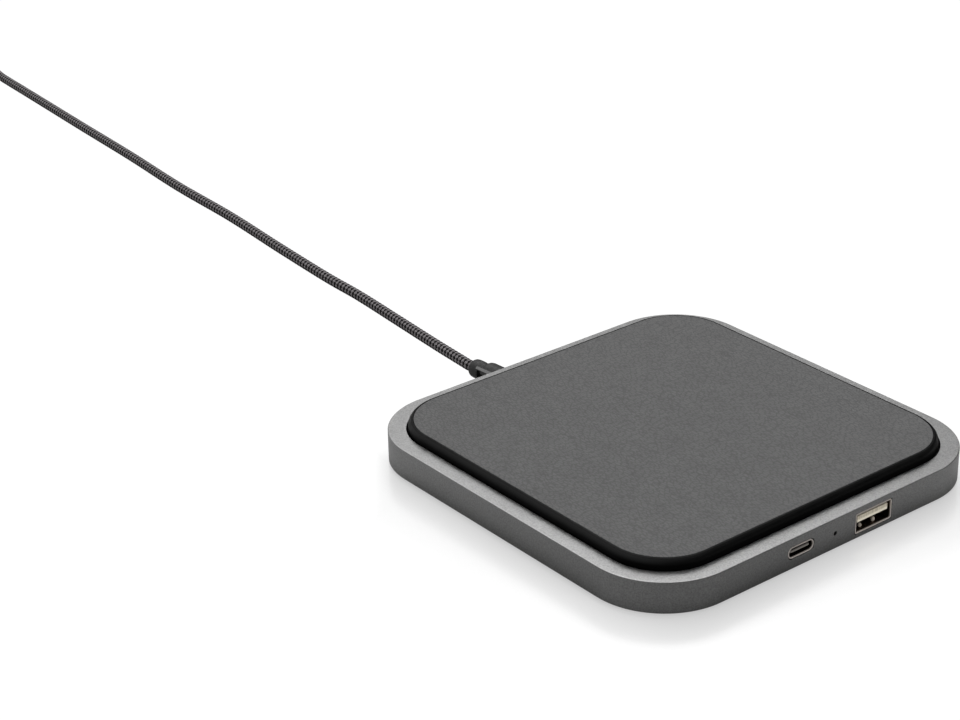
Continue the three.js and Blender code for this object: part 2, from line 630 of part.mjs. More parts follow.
function addElectronics() {
  place('main_board', mainBoard(), FINISH.board());
  BOARD_SCREWS.forEach(([x, y], index) => {
    const mesh = place(`board_screw_${index + 1}`, screw(BOARD_SCREW), FINISH.steel());
    mesh.position.set(x, y, BOARD_TOP);
  });
  place('charging_coil', coilWinding(), FINISH.copper());
  place('ferrite_disc', ferriteDisc(), FINISH.ferrite());
  place('coil_tape', coilTape(), FINISH.tape());
  place('coil_lead_inner', lead(COIL_LEAD_INNER, COIL_LEAD_RADIUS), FINISH.copper());
  place('coil_lead_outer', lead(COIL_LEAD_OUTER, COIL_LEAD_RADIUS), FINISH.copper());
  place('driver_chip', chip(-8, -32, 6, 6, 0.9), FINISH.chip());
  place('port_chip', chip(-16, -44, 5, 5, 0.9), FINISH.chip());
  place('power_inductor', powerInductor(-30, -42, 3.4, 2.8), FINISH.chip());
  place('capacitor_1', chip(14, -32, 3.2, 2.5, 1.8), FINISH.ceramic());
  place('capacitor_2', chip(19, -32, 3.2, 2.5, 1.8), FINISH.ceramic());
  place('capacitor_3', chip(24, -32, 3.2, 2.5, 1.8), FINISH.ceramic());
  place('status_led', chip(LED.x, -53.2, 1.6, 1.2, 1.9), FINISH.clear());
}

function addSockets() {
  place('usb_a_shell', usbAShell(), FINISH.steel());
  place('usb_a_tongue', usbATongue(), FINISH.cream());
  CONTACT_OFFSETS.forEach((offset, index) => {
    place(`usb_a_contact_${index + 1}`, usbAContact(offset), FINISH.gold());
  });
  place('usb_c_shell', usbCShell(), FINISH.steel());
  place('usb_c_tongue', usbCTongue(), FINISH.blackPlastic());
  place('light_pipe', lightPipe(), FINISH.clear());
}

function addCable() {
  const boot = place('strain_relief', strainRelief(), FINISH.rubber());
  boot.position.set(BOOT.x, HALF, BOOT.z);
  boot.rotation.x = -BOOT.droop;
  place('cable_lead_positive', lead(CORE_POSITIVE, CABLE_LEAD_RADIUS), FINISH.redWire());
  place('cable_lead_negative', lead(CORE_NEGATIVE, CABLE_LEAD_RADIUS), FINISH.blackWire());
  const ends = CABLE_RADIUS + CABLE_GAP;
  place('cable_near', cableLength(PIVOTS.swing, PIVOTS.lift - ends, 12), FINISH.braid());
  place('cable_mid', cableLength(PIVOTS.lift, PIVOTS.curl - ends, 14), FINISH.braid());
  place('cable_far', cableLength(PIVOTS.curl, CABLE_LENGTH - PLUG.neck - NOSE_ROOM, 18), FINISH.braid());
}

function addPlug() {
  const plug = new THREE.Group();
  plug.position.set(PLUG.x, PLUG.y, PLUG.z);
  pad.add(plug);
  place('plug_body', plugBody(), FINISH.rubber(), plug);
  place('plug_shell', plugShell(), FINISH.steel(), plug);
  place('plug_tongue', plugTongue(), FINISH.blackPlastic(), plug);
  CONTACT_OFFSETS.forEach((offset, index) => {
    place(`plug_contact_${index + 1}`, plugContact(offset), FINISH.gold(), plug);
  });
}

addShells();
addElectronics();
addSockets();
addCable();
addPlug();

export default pad;
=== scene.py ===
import math

import bmesh
import bpy
import numpy as np
from mathutils import Matrix, Vector


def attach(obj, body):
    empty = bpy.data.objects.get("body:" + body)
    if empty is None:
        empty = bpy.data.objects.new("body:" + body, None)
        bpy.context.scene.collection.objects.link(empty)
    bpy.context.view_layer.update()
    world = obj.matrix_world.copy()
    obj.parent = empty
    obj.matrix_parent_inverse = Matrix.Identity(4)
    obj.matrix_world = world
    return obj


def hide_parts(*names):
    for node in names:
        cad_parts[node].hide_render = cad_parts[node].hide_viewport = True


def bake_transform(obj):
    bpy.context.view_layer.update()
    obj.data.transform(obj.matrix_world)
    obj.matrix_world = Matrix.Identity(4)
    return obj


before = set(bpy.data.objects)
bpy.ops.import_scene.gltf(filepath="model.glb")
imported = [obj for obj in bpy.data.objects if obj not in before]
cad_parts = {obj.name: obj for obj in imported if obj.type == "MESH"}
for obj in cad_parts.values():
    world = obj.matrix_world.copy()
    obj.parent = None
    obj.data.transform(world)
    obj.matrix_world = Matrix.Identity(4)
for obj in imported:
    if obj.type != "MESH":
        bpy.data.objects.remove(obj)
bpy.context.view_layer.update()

# Looks of a square wireless charging pad with a captive braided cable. Shapes are drawn in millimetres in
# the row frame: the origin is the centre of the footprint on the table, with the sockets towards -Y and the
# cable towards +Y.

MM = 0.001

# ---------------- dimensions, in millimetres

HALF = 60.0    # half the side of the metal tray
CORNER = 21.2    # its outside corner radius
TRAY_BOTTOM = 0.6
RIM_TOP = 9.4
RIM_BOTTOM = 7.8
WALL = 2.0
RIM_OPENING = 54.95    # half width of the rim's opening
EDGE_FILLET = 0.25
PEDESTAL_HALF = 54.7
PEDESTAL_CORNER = 16.6
LEATHER_HALF = 53.35
LEATHER_CORNER = 15.4
LEATHER_BOTTOM, LEATHER_TOP = 11.45, 12.25
LEATHER_FILLET = 0.32
POCKET_HALF, POCKET_CORNER, POCKET_TOP = 51.0, 12.5, 9.8
SKIRT_BOTTOM, SHOULDER_TOP, SHOULDER_HALF, SHOULDER_CORNER = 6.9, 7.6, 57.4, 18.6
POST_AT, POST_RADIUS = 47.5, 3.0
CORNERS = ((-1, -1), (1, -1), (-1, 1), (1, 1))
COVER_TOP = 1.7
COVER_HALF, COVER_CORNER = 57.7, 18.9
GRIP_HALF, GRIP_CORNER = 38.0, 12.0
BOARD_SCREWS = ((-37, -30), (37, -30), (0, 28))
BOARD_BOTTOM, BOARD_TOP = 2.4, 3.5

SOCKET_FRONT = -59.9
USB_A_X, USB_A_Z, USB_A_HALF_X, USB_A_HALF_Z, USB_A_DEPTH = 14.5, 4.7, 6.6, 2.85, 14.0
USB_C_X, USB_C_Z, USB_C_HALF_X, USB_C_HALF_Z, USB_C_DEPTH = -11.6, 5.15, 4.47, 1.58, 7.35
SHELL_WALL = 0.3
LED_X, LED_Z, LED_HOLE, LED_PIN = 0.5, 5.05, 0.55, 0.42
CONTACT_OFFSETS = (-3.5, -1.0, 1.0, 3.5)

BOOT_X, BOOT_Z, BOOT_LENGTH, BOOT_DROOP = -8.5, 5.2, 13.4, math.radians(3.2)
PLUG_X, PLUG_Y, PLUG_Z, PLUG_LENGTH, PLUG_NECK = 17.2, 434.0, 3.75, 24.0, 6.5
PLUG_NOSE = 12.0

CABLE_RADIUS = 1.6
CABLE_POINTS = (
    (-8.5, 76, 4.3), (-6.5, 93, 3.5), (-2.9, 120, 2.2), (-0.7, 140, 1.6), (-0.1, 158, 1.6),
    (1.9, 188, 1.6), (4.6, 222, 1.6), (6.0, 258, 1.6), (8.8, 294, 1.6), (11.2, 334, 1.6),
    (14.0, 378, 1.6), (15.6, 404, 1.6), (16.6, 417, 2.7), (17.1, 426, 3.7), (17.2, 434, 3.75),
)
SWING_AT, LIFT_AT, CURL_AT = 1.9, 66.0, 186.0    # pivots, as distances from the boot's mouth
BEND, SWING_BEND = 15.0, 6.5    # how far a bend reaches either side of a pivot

CORNER_STEPS = 24    # facets in a quarter of a large corner
SMALL_STEPS = 8    # facets in a quarter of a small corner
ROUND_STEPS = 64    # facets around a turned part

# ---------------- meshes


def outline(half_x, half_y, radius, steps=CORNER_STEPS):
    """Points of a rounded rectangle, anticlockwise, each corner in `steps` facets."""
    radius = min(radius, half_x, half_y)
    points = []
    for quarter, (sx, sy) in enumerate(((1, 1), (-1, 1), (-1, -1), (1, -1))):
        for step in range(steps + 1):
            angle = (quarter + step / steps) * math.pi / 2
            points.append((
                sx * (half_x - radius) + radius * math.cos(angle),
                sy * (half_y - radius) + radius * math.sin(angle),
            ))
    return points


def square(half, radius):
    return outline(half, half, radius)


def flat(points, z):
    return [(x, y, z) for x, y in points]


def upright_xz(points, y, x0=0.0, z0=0.0):
    """An outline drawn in X and Z, stood at depth y."""
    return [(x0 + x, y, z0 + z) for x, z in points]


def arc(cx, cy, radius, start, end, steps):
    """Points on an arc, angles in degrees."""
    turns = [math.radians(start + (end - start) * i / steps) for i in range(steps + 1)]
    return [(cx + radius * math.cos(t), cy + radius * math.sin(t)) for t in turns]


def loft_mesh(rings, ends="capped"):
    """Vertices and faces of a skin over rings of equal length. Its ends are capped, or meet if closed."""
    count = len(rings[0])
    verts = [p for ring in rings for p in ring]
    faces = []
    last = len(rings) if ends == "closed" else len(rings) - 1
    for i in range(last):
        a, b = i * count, ((i + 1) % len(rings)) * count
        faces += [(a + j, a + (j + 1) % count, b + (j + 1) % count, b + j) for j in range(count)]
    if ends == "capped":
        faces.append(tuple(reversed(range(count))))
        faces.append(tuple((len(rings) - 1) * count + j for j in range(count)))
    return verts, faces


def upright_loft(sections, x=0.0, z=0.0, steps=SMALL_STEPS, ends="capped"):
    """Skin over upright rounded rectangles: half width, half height, corner radius and depth y of each."""
    return loft_mesh([upright_xz(outline(hx, hz, r, steps), y, x, z) for hx, hz, r, y in sections], ends)


def inset_rings(profile, half, corner):
    """Squares at (half width, z) pairs, each concentric with the square that half and corner describe."""
    return [flat(square(h, corner - (half - h)), z) for h, z in profile]


def merged(*meshes):
    verts, faces = [], []
    for v, f in meshes:
        faces += [tuple(i + len(verts) for i in face) for face in f]
        verts += v
    return verts, faces


def moved(mesh, matrix):
    return [tuple(matrix @ Vector(v)) for v in mesh[0]], mesh[1]


def shifted(mesh, x, y, z):
    return [(a + x, b + y, c + z) for a, b, c in mesh[0]], mesh[1]


def lathe(profile, steps=ROUND_STEPS, ends="capped"):
    """Turns (radius, height) pairs about Z. A radius of zero at an end closes the solid."""
    rings = [
        [(r * math.cos(t), r * math.sin(t), z) for t in np.linspace(0, 2 * math.pi, steps, endpoint=False)]
        for r, z in profile
    ]
    return loft_mesh(rings, ends)


def placed(name, data):
    obj = bpy.data.objects.new(name, data)
    bpy.context.scene.collection.objects.link(obj)
    return obj


def new_object(name, mesh, material):
    data = bpy.data.meshes.new(name)
    verts, faces = mesh
    data.from_pydata([(x * MM, y * MM, z * MM) for x, y, z in verts], [], faces)
    work = bmesh.new()
    work.from_mesh(data)
    bmesh.ops.remove_doubles(work, verts=work.verts, dist=1e-7)
    bmesh.ops.dissolve_degenerate(work, edges=work.edges, dist=1e-7)
    bmesh.ops.recalc_face_normals(work, faces=work.faces)
    work.to_mesh(data)
    work.free()
    data.materials.append(material)
    return placed(name, data)


def boolean(obj, mesh, operation="DIFFERENCE"):
    """Cuts a closed mesh out of obj, or joins it on."""
    tool = new_object("tool", mesh, obj.data.materials[0])
    modifier = obj.modifiers.new("Boolean", "BOOLEAN")
    modifier.operation = operation
    modifier.solver = "EXACT"
    modifier.object = tool
    graph = bpy.context.evaluated_depsgraph_get()
    result = bpy.data.meshes.new_from_object(obj.evaluated_get(graph))
    obj.modifiers.clear()
    obj.data = result
    bpy.data.objects.remove(tool)


def join_on(obj, mesh, slot):
    """Adds a mesh to obj as it stands, painted with the object's material number `slot`."""
    extra = new_object("extra", mesh, obj.data.materials[slot])
    work = bmesh.new()
    work.from_mesh(obj.data)
    before = len(work.faces)
    work.from_mesh(extra.data)
    work.faces.ensure_lookup_table()
    for face in work.faces[before:]:
        face.material_index = slot
    work.to_mesh(obj.data)
    work.free()
    bpy.data.objects.remove(extra)


def smooth(obj, angle):
    """Smooth shading that keeps edges sharper than `angle` degrees, with flat faces left flat."""
    obj.data.shade_smooth()
    obj.data.set_sharp_from_angle(angle=math.radians(angle))
    weighted = obj.modifiers.new("WeightedNormal", "WEIGHTED_NORMAL")
    weighted.keep_sharp = True
    weighted.weight = 100


def finish_piece(obj, body, node, angle=35):
    """Smooths a piece, lets it ride on its body, and has it stand for its CAD node."""
    smooth(obj, angle)
    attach(obj, body)
    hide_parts(node)


# ---------------- materials


class Nodes:
    """A node tree that is filled one call at a time."""

    def __init__(self, tree):
        self.tree = tree

    def node(self, kind, inputs=None, **settings):
        node = self.tree.nodes.new(kind)
        for key, value in settings.items():
            setattr(node, key, value)
        for key, value in (inputs or {}).items():
            self.feed(node.inputs[key], value)
        return node

    def feed(self, socket, value):
        if isinstance(value, bpy.types.NodeSocket):
            self.tree.links.new(value, socket)
        else:
            socket.default_value = value

    def fit(self, value, low, high, new_low, new_high):
        """Takes low..high to new_low..new_high with soft ends, and holds the ends outside that range."""
        return self.node("ShaderNodeMapRange", {
            "Value": value, "From Min": low, "From Max": high, "To Min": new_low, "To Max": new_high,
        }, interpolation_type="SMOOTHSTEP").outputs["Result"]

    def math(self, operation, a, b=0.0):
        return self.node("ShaderNodeMath", {0: a, 1: b}, operation=operation).outputs[0]

    def dot(self, a, b):
        return self.node("ShaderNodeVectorMath", {0: a, 1: b}, operation="DOT_PRODUCT").outputs["Value"]

    def show(self, output, seen, otherwise):
        """Gives the output one shader for the camera and another for every other ray."""
        ray = self.node("ShaderNodeLightPath").outputs["Is Camera Ray"]
        mixed = self.node("ShaderNodeMixShader", {0: ray, 1: otherwise, 2: seen})
        self.feed(output.inputs["Surface"], mixed.outputs["Shader"])


class Finish(Nodes):
    """A material for a piece of the object. Noise sizes are in millimetres."""

    def __init__(self, name, roughness, metallic=0.0, specular=0.5):
        self.material = bpy.data.materials.new(name)
        self.material.use_nodes = True
        super().__init__(self.material.node_tree)
        self.shader = self.tree.nodes["Principled BSDF"]
        self.shader.inputs["Roughness"].default_value = roughness
        self.shader.inputs["Metallic"].default_value = metallic
        self.specular(specular)
        self.place = self.node("ShaderNodeTexCoord").outputs["Object"]
        self.height = None

    def stretched(self, x, y, z):
        """Object coordinates scaled along each axis."""
        return self.node("ShaderNodeMapping", {"Vector": self.place, "Scale": (x, y, z)}).outputs["Vector"]

    def noise(self, size, detail=3.0, rough=0.55, distortion=0.0, vector=None):
        return self.node("ShaderNodeTexNoise", {
            "Vector": vector or self.place, "Scale": 1000.0 / size, "Detail": detail,
            "Roughness": rough, "Distortion": distortion,
        }).outputs["Fac"]

    def cells(self, size, feature="F1", vector=None):
        return self.node("ShaderNodeTexVoronoi", {
            "Vector": vector or self.place, "Scale": 1000.0 / size,
        }, feature=feature).outputs["Distance"]

    def mix(self, factor, a, b):
        node = self.node("ShaderNodeMix", data_type="RGBA")
        self.feed(node.inputs["Factor"], factor)
        self.feed(node.inputs["A"], a)
        self.feed(node.inputs["B"], b)
        return node.outputs["Result"]

    def axis(self, name):
        return self.node("ShaderNodeSeparateXYZ", {"Vector": self.place}).outputs[name]

    def attribute(self, name):
        return self.node("ShaderNodeAttribute", attribute_name=name).outputs["Fac"]

    def colour(self, value):
        self.feed(self.shader.inputs["Base Color"], value)

    def roughness(self, value):
        self.feed(self.shader.inputs["Roughness"], value)

    def specular(self, value):
        self.feed(self.shader.inputs["Specular IOR Level"], value)

    def patchy(self, size, low, high, detail=4.0):
        """Roughness that wanders between two values."""
        self.roughness(self.fit(self.noise(size, detail=detail), 0.3, 0.7, low, high))

    def bump(self, value, distance, strength=1.0):
        """Adds relief of `distance` millimetres over what is there already."""
        inputs = {"Height": value, "Distance": distance * MM, "Strength": strength}
        if self.height is not None:
            inputs["Normal"] = self.height
        self.height = self.node("ShaderNodeBump", inputs).outputs["Normal"]
        self.feed(self.shader.inputs["Normal"], self.height)


def grey(value, warmth=0.0):
    return (value * (1 + warmth), value, value * (1 - warmth), 1.0)


def anodised_metal():
    """Fine bead-blasted tray, its long edges painted a little brighter in patches as a highlight."""
    m = Finish("housing_metal", 0.34, metallic=1.0)
    cloud = m.noise(28.0, detail=4.0)
    blast = m.noise(0.42, detail=4.0, rough=0.7)
    base = m.mix(m.fit(cloud, 0.3, 0.7, 0.0, 1.0), grey(0.235, 0.006), grey(0.261, 0.006))
    base = m.mix(m.fit(blast, 0.3, 0.7, 0.0, 0.7), base, grey(0.44))
    # The top edge of the walls is painted lighter in patches: a painted highlight along the rounded edge.
    edge = m.fit(m.axis("Z"), 9.14 * MM, 9.3 * MM, 0.0, 1.0)
    outside = m.math("LESS_THAN", m.math("ABSOLUTE", m.node(
        "ShaderNodeSeparateXYZ", {"Vector": m.node("ShaderNodeNewGeometry").outputs["True Normal"]},
    ).outputs["Z"]), 0.95)
    edge_highlight = m.math("MULTIPLY", m.math("MULTIPLY", edge, outside), m.fit(m.noise(1.7), 0.3, 0.6, 0.35, 1.0))
    m.colour(m.mix(m.math("MULTIPLY", edge_highlight, 0.4), base, grey(0.5)))
    m.roughness(m.fit(m.noise(3.0, detail=6.0), 0.25, 0.75, 0.29, 0.37))
    m.bump(blast, 0.018)
    m.bump(m.noise(0.09, detail=1.0), 0.003)
    return m.material


def black_plastic():
    m = Finish("black_plastic", 0.38)
    # Specular falls towards the foot of the wall and over the rounded lip, dimming their reflections:
    # painted shade.
    low = m.fit(m.axis("Z"), 10.2 * MM, 11.5 * MM, 0.04, 0.24)
    lip = m.fit(m.axis("Z"), 11.8 * MM, 12.1 * MM, 1.0, 0.35)
    m.specular(m.math("MULTIPLY", low, lip))
    m.colour(m.mix(m.noise(9.0), grey(0.0012), grey(0.002)))
    m.patchy(2.2, 0.34, 0.5, 5.0)
    m.bump(m.noise(0.16, detail=2.0), 0.008)
    return m.material


def leather():
    """Pressed grain: rounded pebbles with thin creases between them, darkened as painted shade, and a dark
    edge: edge paint on the cut edge, carried up the rounded top edge as painted shade over its highlight.
    """
    m = Finish("leather", 0.6)
    along = m.stretched(1.0, 0.42, 1.0)
    warp = m.node("ShaderNodeTexNoise", {"Vector": m.place, "Scale": 700.0, "Detail": 2.0}).outputs["Color"]
    bent = m.node("ShaderNodeMix", {"Factor": 0.0004}, data_type="VECTOR")
    m.feed(bent.inputs["A"], along)
    m.feed(bent.inputs["B"], warp)
    vector = bent.outputs["Result"]
    pebbles = m.cells(0.8, "DISTANCE_TO_EDGE", vector)
    small = m.cells(0.36, "DISTANCE_TO_EDGE", vector)
    crease = m.fit(pebbles, 0.0, 0.2, 0.0, 1.0)
    fine = m.fit(small, 0.0, 0.25, 0.0, 1.0)
    mottle = m.noise(2.6, detail=4.0, vector=along)
    body = m.mix(m.fit(mottle, 0.3, 0.7, 0.0, 1.0), grey(0.104), grey(0.1215))
    body = m.mix(m.fit(m.noise(30.0), 0.3, 0.7, 0.0, 0.25), body, grey(0.12))
    # The creases between the pebbles are darkened: painted shade.
    dark = m.math("MULTIPLY", m.math("SUBTRACT", 1.0, crease), 0.5)
    body = m.mix(dark, body, grey(0.07))
    # Edge paint on the cut edge, carried up the rounded top edge as painted shade over its highlight, with
    # less specular.
    painted = m.fit(m.axis("Z"), 12.05 * MM, 12.22 * MM, 1.0, 0.0)
    m.colour(m.mix(painted, body, grey(0.006)))
    m.specular(m.fit(painted, 0.0, 1.0, 0.25, 0.04))
    m.roughness(m.fit(crease, 0.0, 1.0, 0.72, 0.56))
    m.bump(crease, 0.04)
    m.bump(fine, 0.014)
    m.bump(m.noise(0.14), 0.013)
    return m.material


def rubber(name="rubber", dark=0.011, light=0.018, rough=0.5, specular=0.45):
    m = Finish(name, rough, specular=specular)
    m.colour(m.mix(m.noise(4.0), grey(dark), grey(light)))
    m.patchy(1.4, rough * 0.9, rough * 1.25, 5.0)
    m.bump(m.noise(0.12, detail=2.0), 0.008)
    return m.material


def metal(name, colour, rough, grain=None):
    """Plated or drawn metal, with fine lines along one axis if `grain` gives the stretch."""
    m = Finish(name, rough, metallic=1.0)
    lines = m.noise(0.25, detail=3.0, vector=m.stretched(*grain) if grain else None)
    tint = tuple(min(1.0, c * 1.12) for c in colour[:3]) + (1.0,)
    m.colour(m.mix(m.fit(lines, 0.3, 0.7, 0.0, 1.0), colour, tint))
    m.patchy(0.8, rough - 0.06, rough + 0.1)
    m.bump(lines, 0.004)
    return m.material


def socket_steel():
    """Nickel plate, painted bright on its mouth as a highlight and dark inside as shade."""
    m = Finish("socket_steel", 0.3, metallic=1.0)
    lines = m.noise(0.25, detail=3.0, vector=m.stretched(1.0, 0.08, 1.0))
    # Further in, the plate is painted dark and fully metallic: painted shade inside the socket. At the mouth
    # it stays light and half diffuse: a painted highlight.
    depth = m.fit(m.axis("Y"), (SOCKET_FRONT + 0.16) * MM, (SOCKET_FRONT + 0.7) * MM, 0.0, 1.0)
    plate = m.mix(lines, (0.66, 0.6, 0.55, 1), (0.78, 0.72, 0.67, 1))
    shaded_plate = m.mix(lines, (0.06, 0.043, 0.03, 1), (0.1, 0.075, 0.055, 1))
    m.colour(m.mix(depth, plate, shaded_plate))
    m.feed(m.shader.inputs["Metallic"], m.fit(depth, 0.0, 1.0, 0.45, 1.0))
    m.patchy(0.8, 0.28, 0.45)
    m.bump(lines, 0.004)
    return m.material


def usb_c_plastic():
    """Black moulding, warm grey along its leading edge."""
    m = Finish("usb_c_plastic", 0.4)
    # The front of the moulding is coloured warm grey, the rest black.
    leading_edge = m.fit(m.axis("Y"), (SOCKET_FRONT + 0.7) * MM, (SOCKET_FRONT + 1.0) * MM, 1.0, 0.0)
    m.colour(m.mix(leading_edge, grey(0.006), m.mix(m.noise(0.3), grey(0.13, 0.08), grey(0.21, 0.08))))
    m.patchy(0.6, 0.32, 0.5, 3.0)
    m.bump(m.noise(0.15), 0.005)
    return m.material


def plastic(name, low, high, rough, relief=0.006, grain=0.2):
    m = Finish(name, rough)
    m.colour(m.mix(m.fit(m.noise(1.6, detail=4.0), 0.3, 0.7, 0.0, 1.0), low, high))
    m.patchy(0.9, rough - 0.07, rough + 0.07)
    m.bump(m.noise(grain, detail=2.0), relief)
    return m.material


def cream_plastic():
    """Off-white moulding, painted darker and browner above its lower edge as shade under the shell."""
    m = Finish("cream_plastic", 0.4)
    cream_tone = m.mix(m.noise(1.6, detail=4.0), (0.8, 0.74, 0.6, 1), (0.88, 0.82, 0.68, 1))
    shaded_cream = m.mix(m.noise(0.5, detail=4.0), (0.32, 0.28, 0.21, 1), (0.46, 0.4, 0.31, 1))
    ribs = m.noise(0.5, detail=1.0, vector=m.stretched(1.0, 1.0, 0.12))
    # Above the lower edge the cream is painted darker, in vertical stripes: painted shade under the shell.
    high = m.fit(m.axis("Z"), (USB_A_Z + 0.5) * MM, (USB_A_Z + 1.1) * MM, 0.0, 0.9)
    m.colour(m.mix(m.math("MULTIPLY", high, m.fit(ribs, 0.35, 0.65, 0.6, 1.0)), cream_tone, shaded_cream))
    m.patchy(0.9, 0.33, 0.47)
    m.bump(m.noise(0.2, detail=2.0), 0.006)
    return m.material


def clear_plastic(name, low, high):
    m = Finish(name, 0.25)
    m.colour(m.mix(m.noise(0.6), low, high))
    m.shader.inputs["Transmission Weight"].default_value = 0.35
    m.patchy(0.3, 0.2, 0.4, 3.0)
    m.bump(m.noise(0.15), 0.004)
    return m.material


def circuit_board():
    """Green mask over faint copper tracks."""
    m = Finish("circuit_board", 0.35)
    tracks = m.node("ShaderNodeTexBrick", {
        "Vector": m.place, "Scale": 420.0, "Mortar Size": 0.03, "Color1": (0, 0, 0, 1),
        "Color2": (0, 0, 0, 1), "Mortar": (1, 1, 1, 1),
    }).outputs["Color"]
    m.colour(m.mix(tracks, (0.012, 0.11, 0.045, 1), (0.03, 0.2, 0.08, 1)))
    m.patchy(1.5, 0.28, 0.42, 3.0)
    m.bump(tracks, 0.03)
    m.bump(m.noise(0.3), 0.006)
    return m.material


def braid():
    """Twisted nylon yarn. Each strand's tint and its lengthways coordinates come with the mesh."""
    m = Finish("braid", 0.45)
    tint = m.attribute("tint")
    m.specular(m.fit(tint, 0.0, 1.0, 0.08, 0.4))
    across = m.attribute("across")
    along = m.attribute("along")
    thread = m.node("ShaderNodeCombineXYZ", {"X": across, "Y": along}).outputs["Vector"]
    twist = m.node("ShaderNodeTexWave", {
        "Vector": thread, "Scale": 1.1, "Distortion": 1.2, "Detail": 1.5, "Detail Scale": 2.0,
    }, wave_type="BANDS", bands_direction="DIAGONAL").outputs["Fac"]
    fibre = m.noise(0.09, detail=3.0)
    dark = m.mix(fibre, (0.0025, 0.002, 0.0022, 1), (0.006, 0.005, 0.0055, 1))
    light = m.mix(fibre, (0.12, 0.11, 0.115, 1), (0.36, 0.335, 0.345, 1))
    base = m.mix(tint, dark, light)
    # The grooves between the twists are darkened: painted shade.
    m.colour(m.mix(m.fit(twist, 0.0, 0.35, 0.6, 0.0), base, grey(0.006)))
    m.patchy(0.5, 0.42, 0.6, 3.0)
    m.bump(twist, 0.03)
    m.bump(fibre, 0.01)
    return m.material


GRAIN_ALONG_Y = (1.0, 0.08, 1.0)
ANODISED = anodised_metal()
BLACK_PLASTIC = black_plastic()
LEATHER = leather()
RUBBER = rubber()
# A lighter, glossier copy of the rubber: a painted highlight on the lit faces of the boot's ribs.
RUBBER_HIGHLIGHT = rubber("rubber_painted_highlight", 0.13, 0.18, 0.25, 1.0)
STEEL = metal("steel", (0.56, 0.545, 0.52, 1), 0.24, GRAIN_ALONG_Y)
SOCKET_STEEL = socket_steel()
C_INSULATOR = usb_c_plastic()
BLACK_STEEL = metal("black_steel", (0.045, 0.045, 0.05, 1), 0.36)
GOLD = metal("gold", (0.78, 0.56, 0.25, 1), 0.22, GRAIN_ALONG_Y)
COPPER = metal("copper", (0.68, 0.33, 0.15, 1), 0.32)
CREAM = cream_plastic()
# A light diffuse finish for the nickel domes of the floor springs: painted highlights.
TIP_HIGHLIGHT = plastic("nickel_tip_highlight", (0.3, 0.265, 0.225, 1), (0.42, 0.375, 0.32, 1), 0.3)
FERRITE = plastic("ferrite", grey(0.03), grey(0.06), 0.65, 0.02, 0.3)
TAPE = plastic("tape", (0.52, 0.33, 0.07, 1), (0.62, 0.4, 0.1, 1), 0.3)
CHIP = plastic("chip", grey(0.015), grey(0.03), 0.5, 0.01, 0.12)
CAPACITOR = plastic("capacitor", (0.32, 0.21, 0.11, 1), (0.42, 0.29, 0.16, 1), 0.5)
RED_WIRE = plastic("red_wire", (0.42, 0.02, 0.02, 1), (0.5, 0.035, 0.03, 1), 0.38)
BLACK_WIRE = plastic("black_wire", grey(0.012), grey(0.02), 0.38)
CLEAR = clear_plastic("clear_plastic", (0.55, 0.57, 0.58, 1), (0.7, 0.72, 0.73, 1))
SMOKED = clear_plastic("smoked_plastic", grey(0.012), grey(0.02))
BOARD = circuit_board()
BRAID = braid()

# ---------------- tray


def socket_cutter(half_x, half_z, radius, x, z):
    """Opening through the front wall, its mouth broken by a small chamfer."""
    flare = 0.14
    depths = ((-HALF - 0.4, flare + 0.4), (-HALF + flare, 0.0), (-HALF + WALL + 0.5, 0.0))
    return upright_loft([(half_x + grow, half_z + grow, radius + grow, y) for y, grow in depths], x, z)


def turned_along_y(profile, x, z, steps=ROUND_STEPS):
    """Turns (radius, y) pairs about a line along +Y."""
    mesh = lathe(profile, steps)
    return [(x + a, c, z + b) for a, b, c in mesh[0]], mesh[1]


def tray():
    top = arc(HALF - EDGE_FILLET, RIM_TOP - EDGE_FILLET, EDGE_FILLET, 0, 90, 5)
    inner = arc(RIM_OPENING + 0.12, RIM_TOP - 0.12, 0.12, 90, 180, 3)
    profile = [(HALF - 0.15, TRAY_BOTTOM), (HALF, TRAY_BOTTOM + 0.15), *top, *inner]
    profile += [(RIM_OPENING, RIM_BOTTOM), (HALF - WALL, RIM_BOTTOM), (HALF - WALL, TRAY_BOTTOM + 0.12),
                (HALF - WALL + 0.12, TRAY_BOTTOM)]
    obj = new_object("tray", loft_mesh(inset_rings(profile, HALF, CORNER), "closed"), ANODISED)
    boolean(obj, socket_cutter(USB_A_HALF_X + 0.15, USB_A_HALF_Z + 0.15, 0.35, USB_A_X, USB_A_Z))
    boolean(obj, socket_cutter(USB_C_HALF_X + 0.2, USB_C_HALF_Z + 0.2, 1.72, USB_C_X, USB_C_Z))
    pin = [(LED_HOLE + 0.5, -HALF - 0.4), (LED_HOLE, -HALF + 0.1), (LED_HOLE, -HALF + WALL + 0.5)]
    boolean(obj, turned_along_y(pin, LED_X, LED_Z, 32))
    hole = [(2.5, HALF - WALL - 0.5), (2.5, HALF + 0.5)]
    boolean(obj, turned_along_y(hole, BOOT_X, BOOT_Z))
    finish_piece(obj, "pad", "housing", angle=30)


def box_mesh(low, high):
    (x0, y0, z0), (x1, y1, z1) = low, high
    ring = ((x0, y0), (x1, y0), (x1, y1), (x0, y1))
    return loft_mesh([flat(ring, z0), flat(ring, z1)])


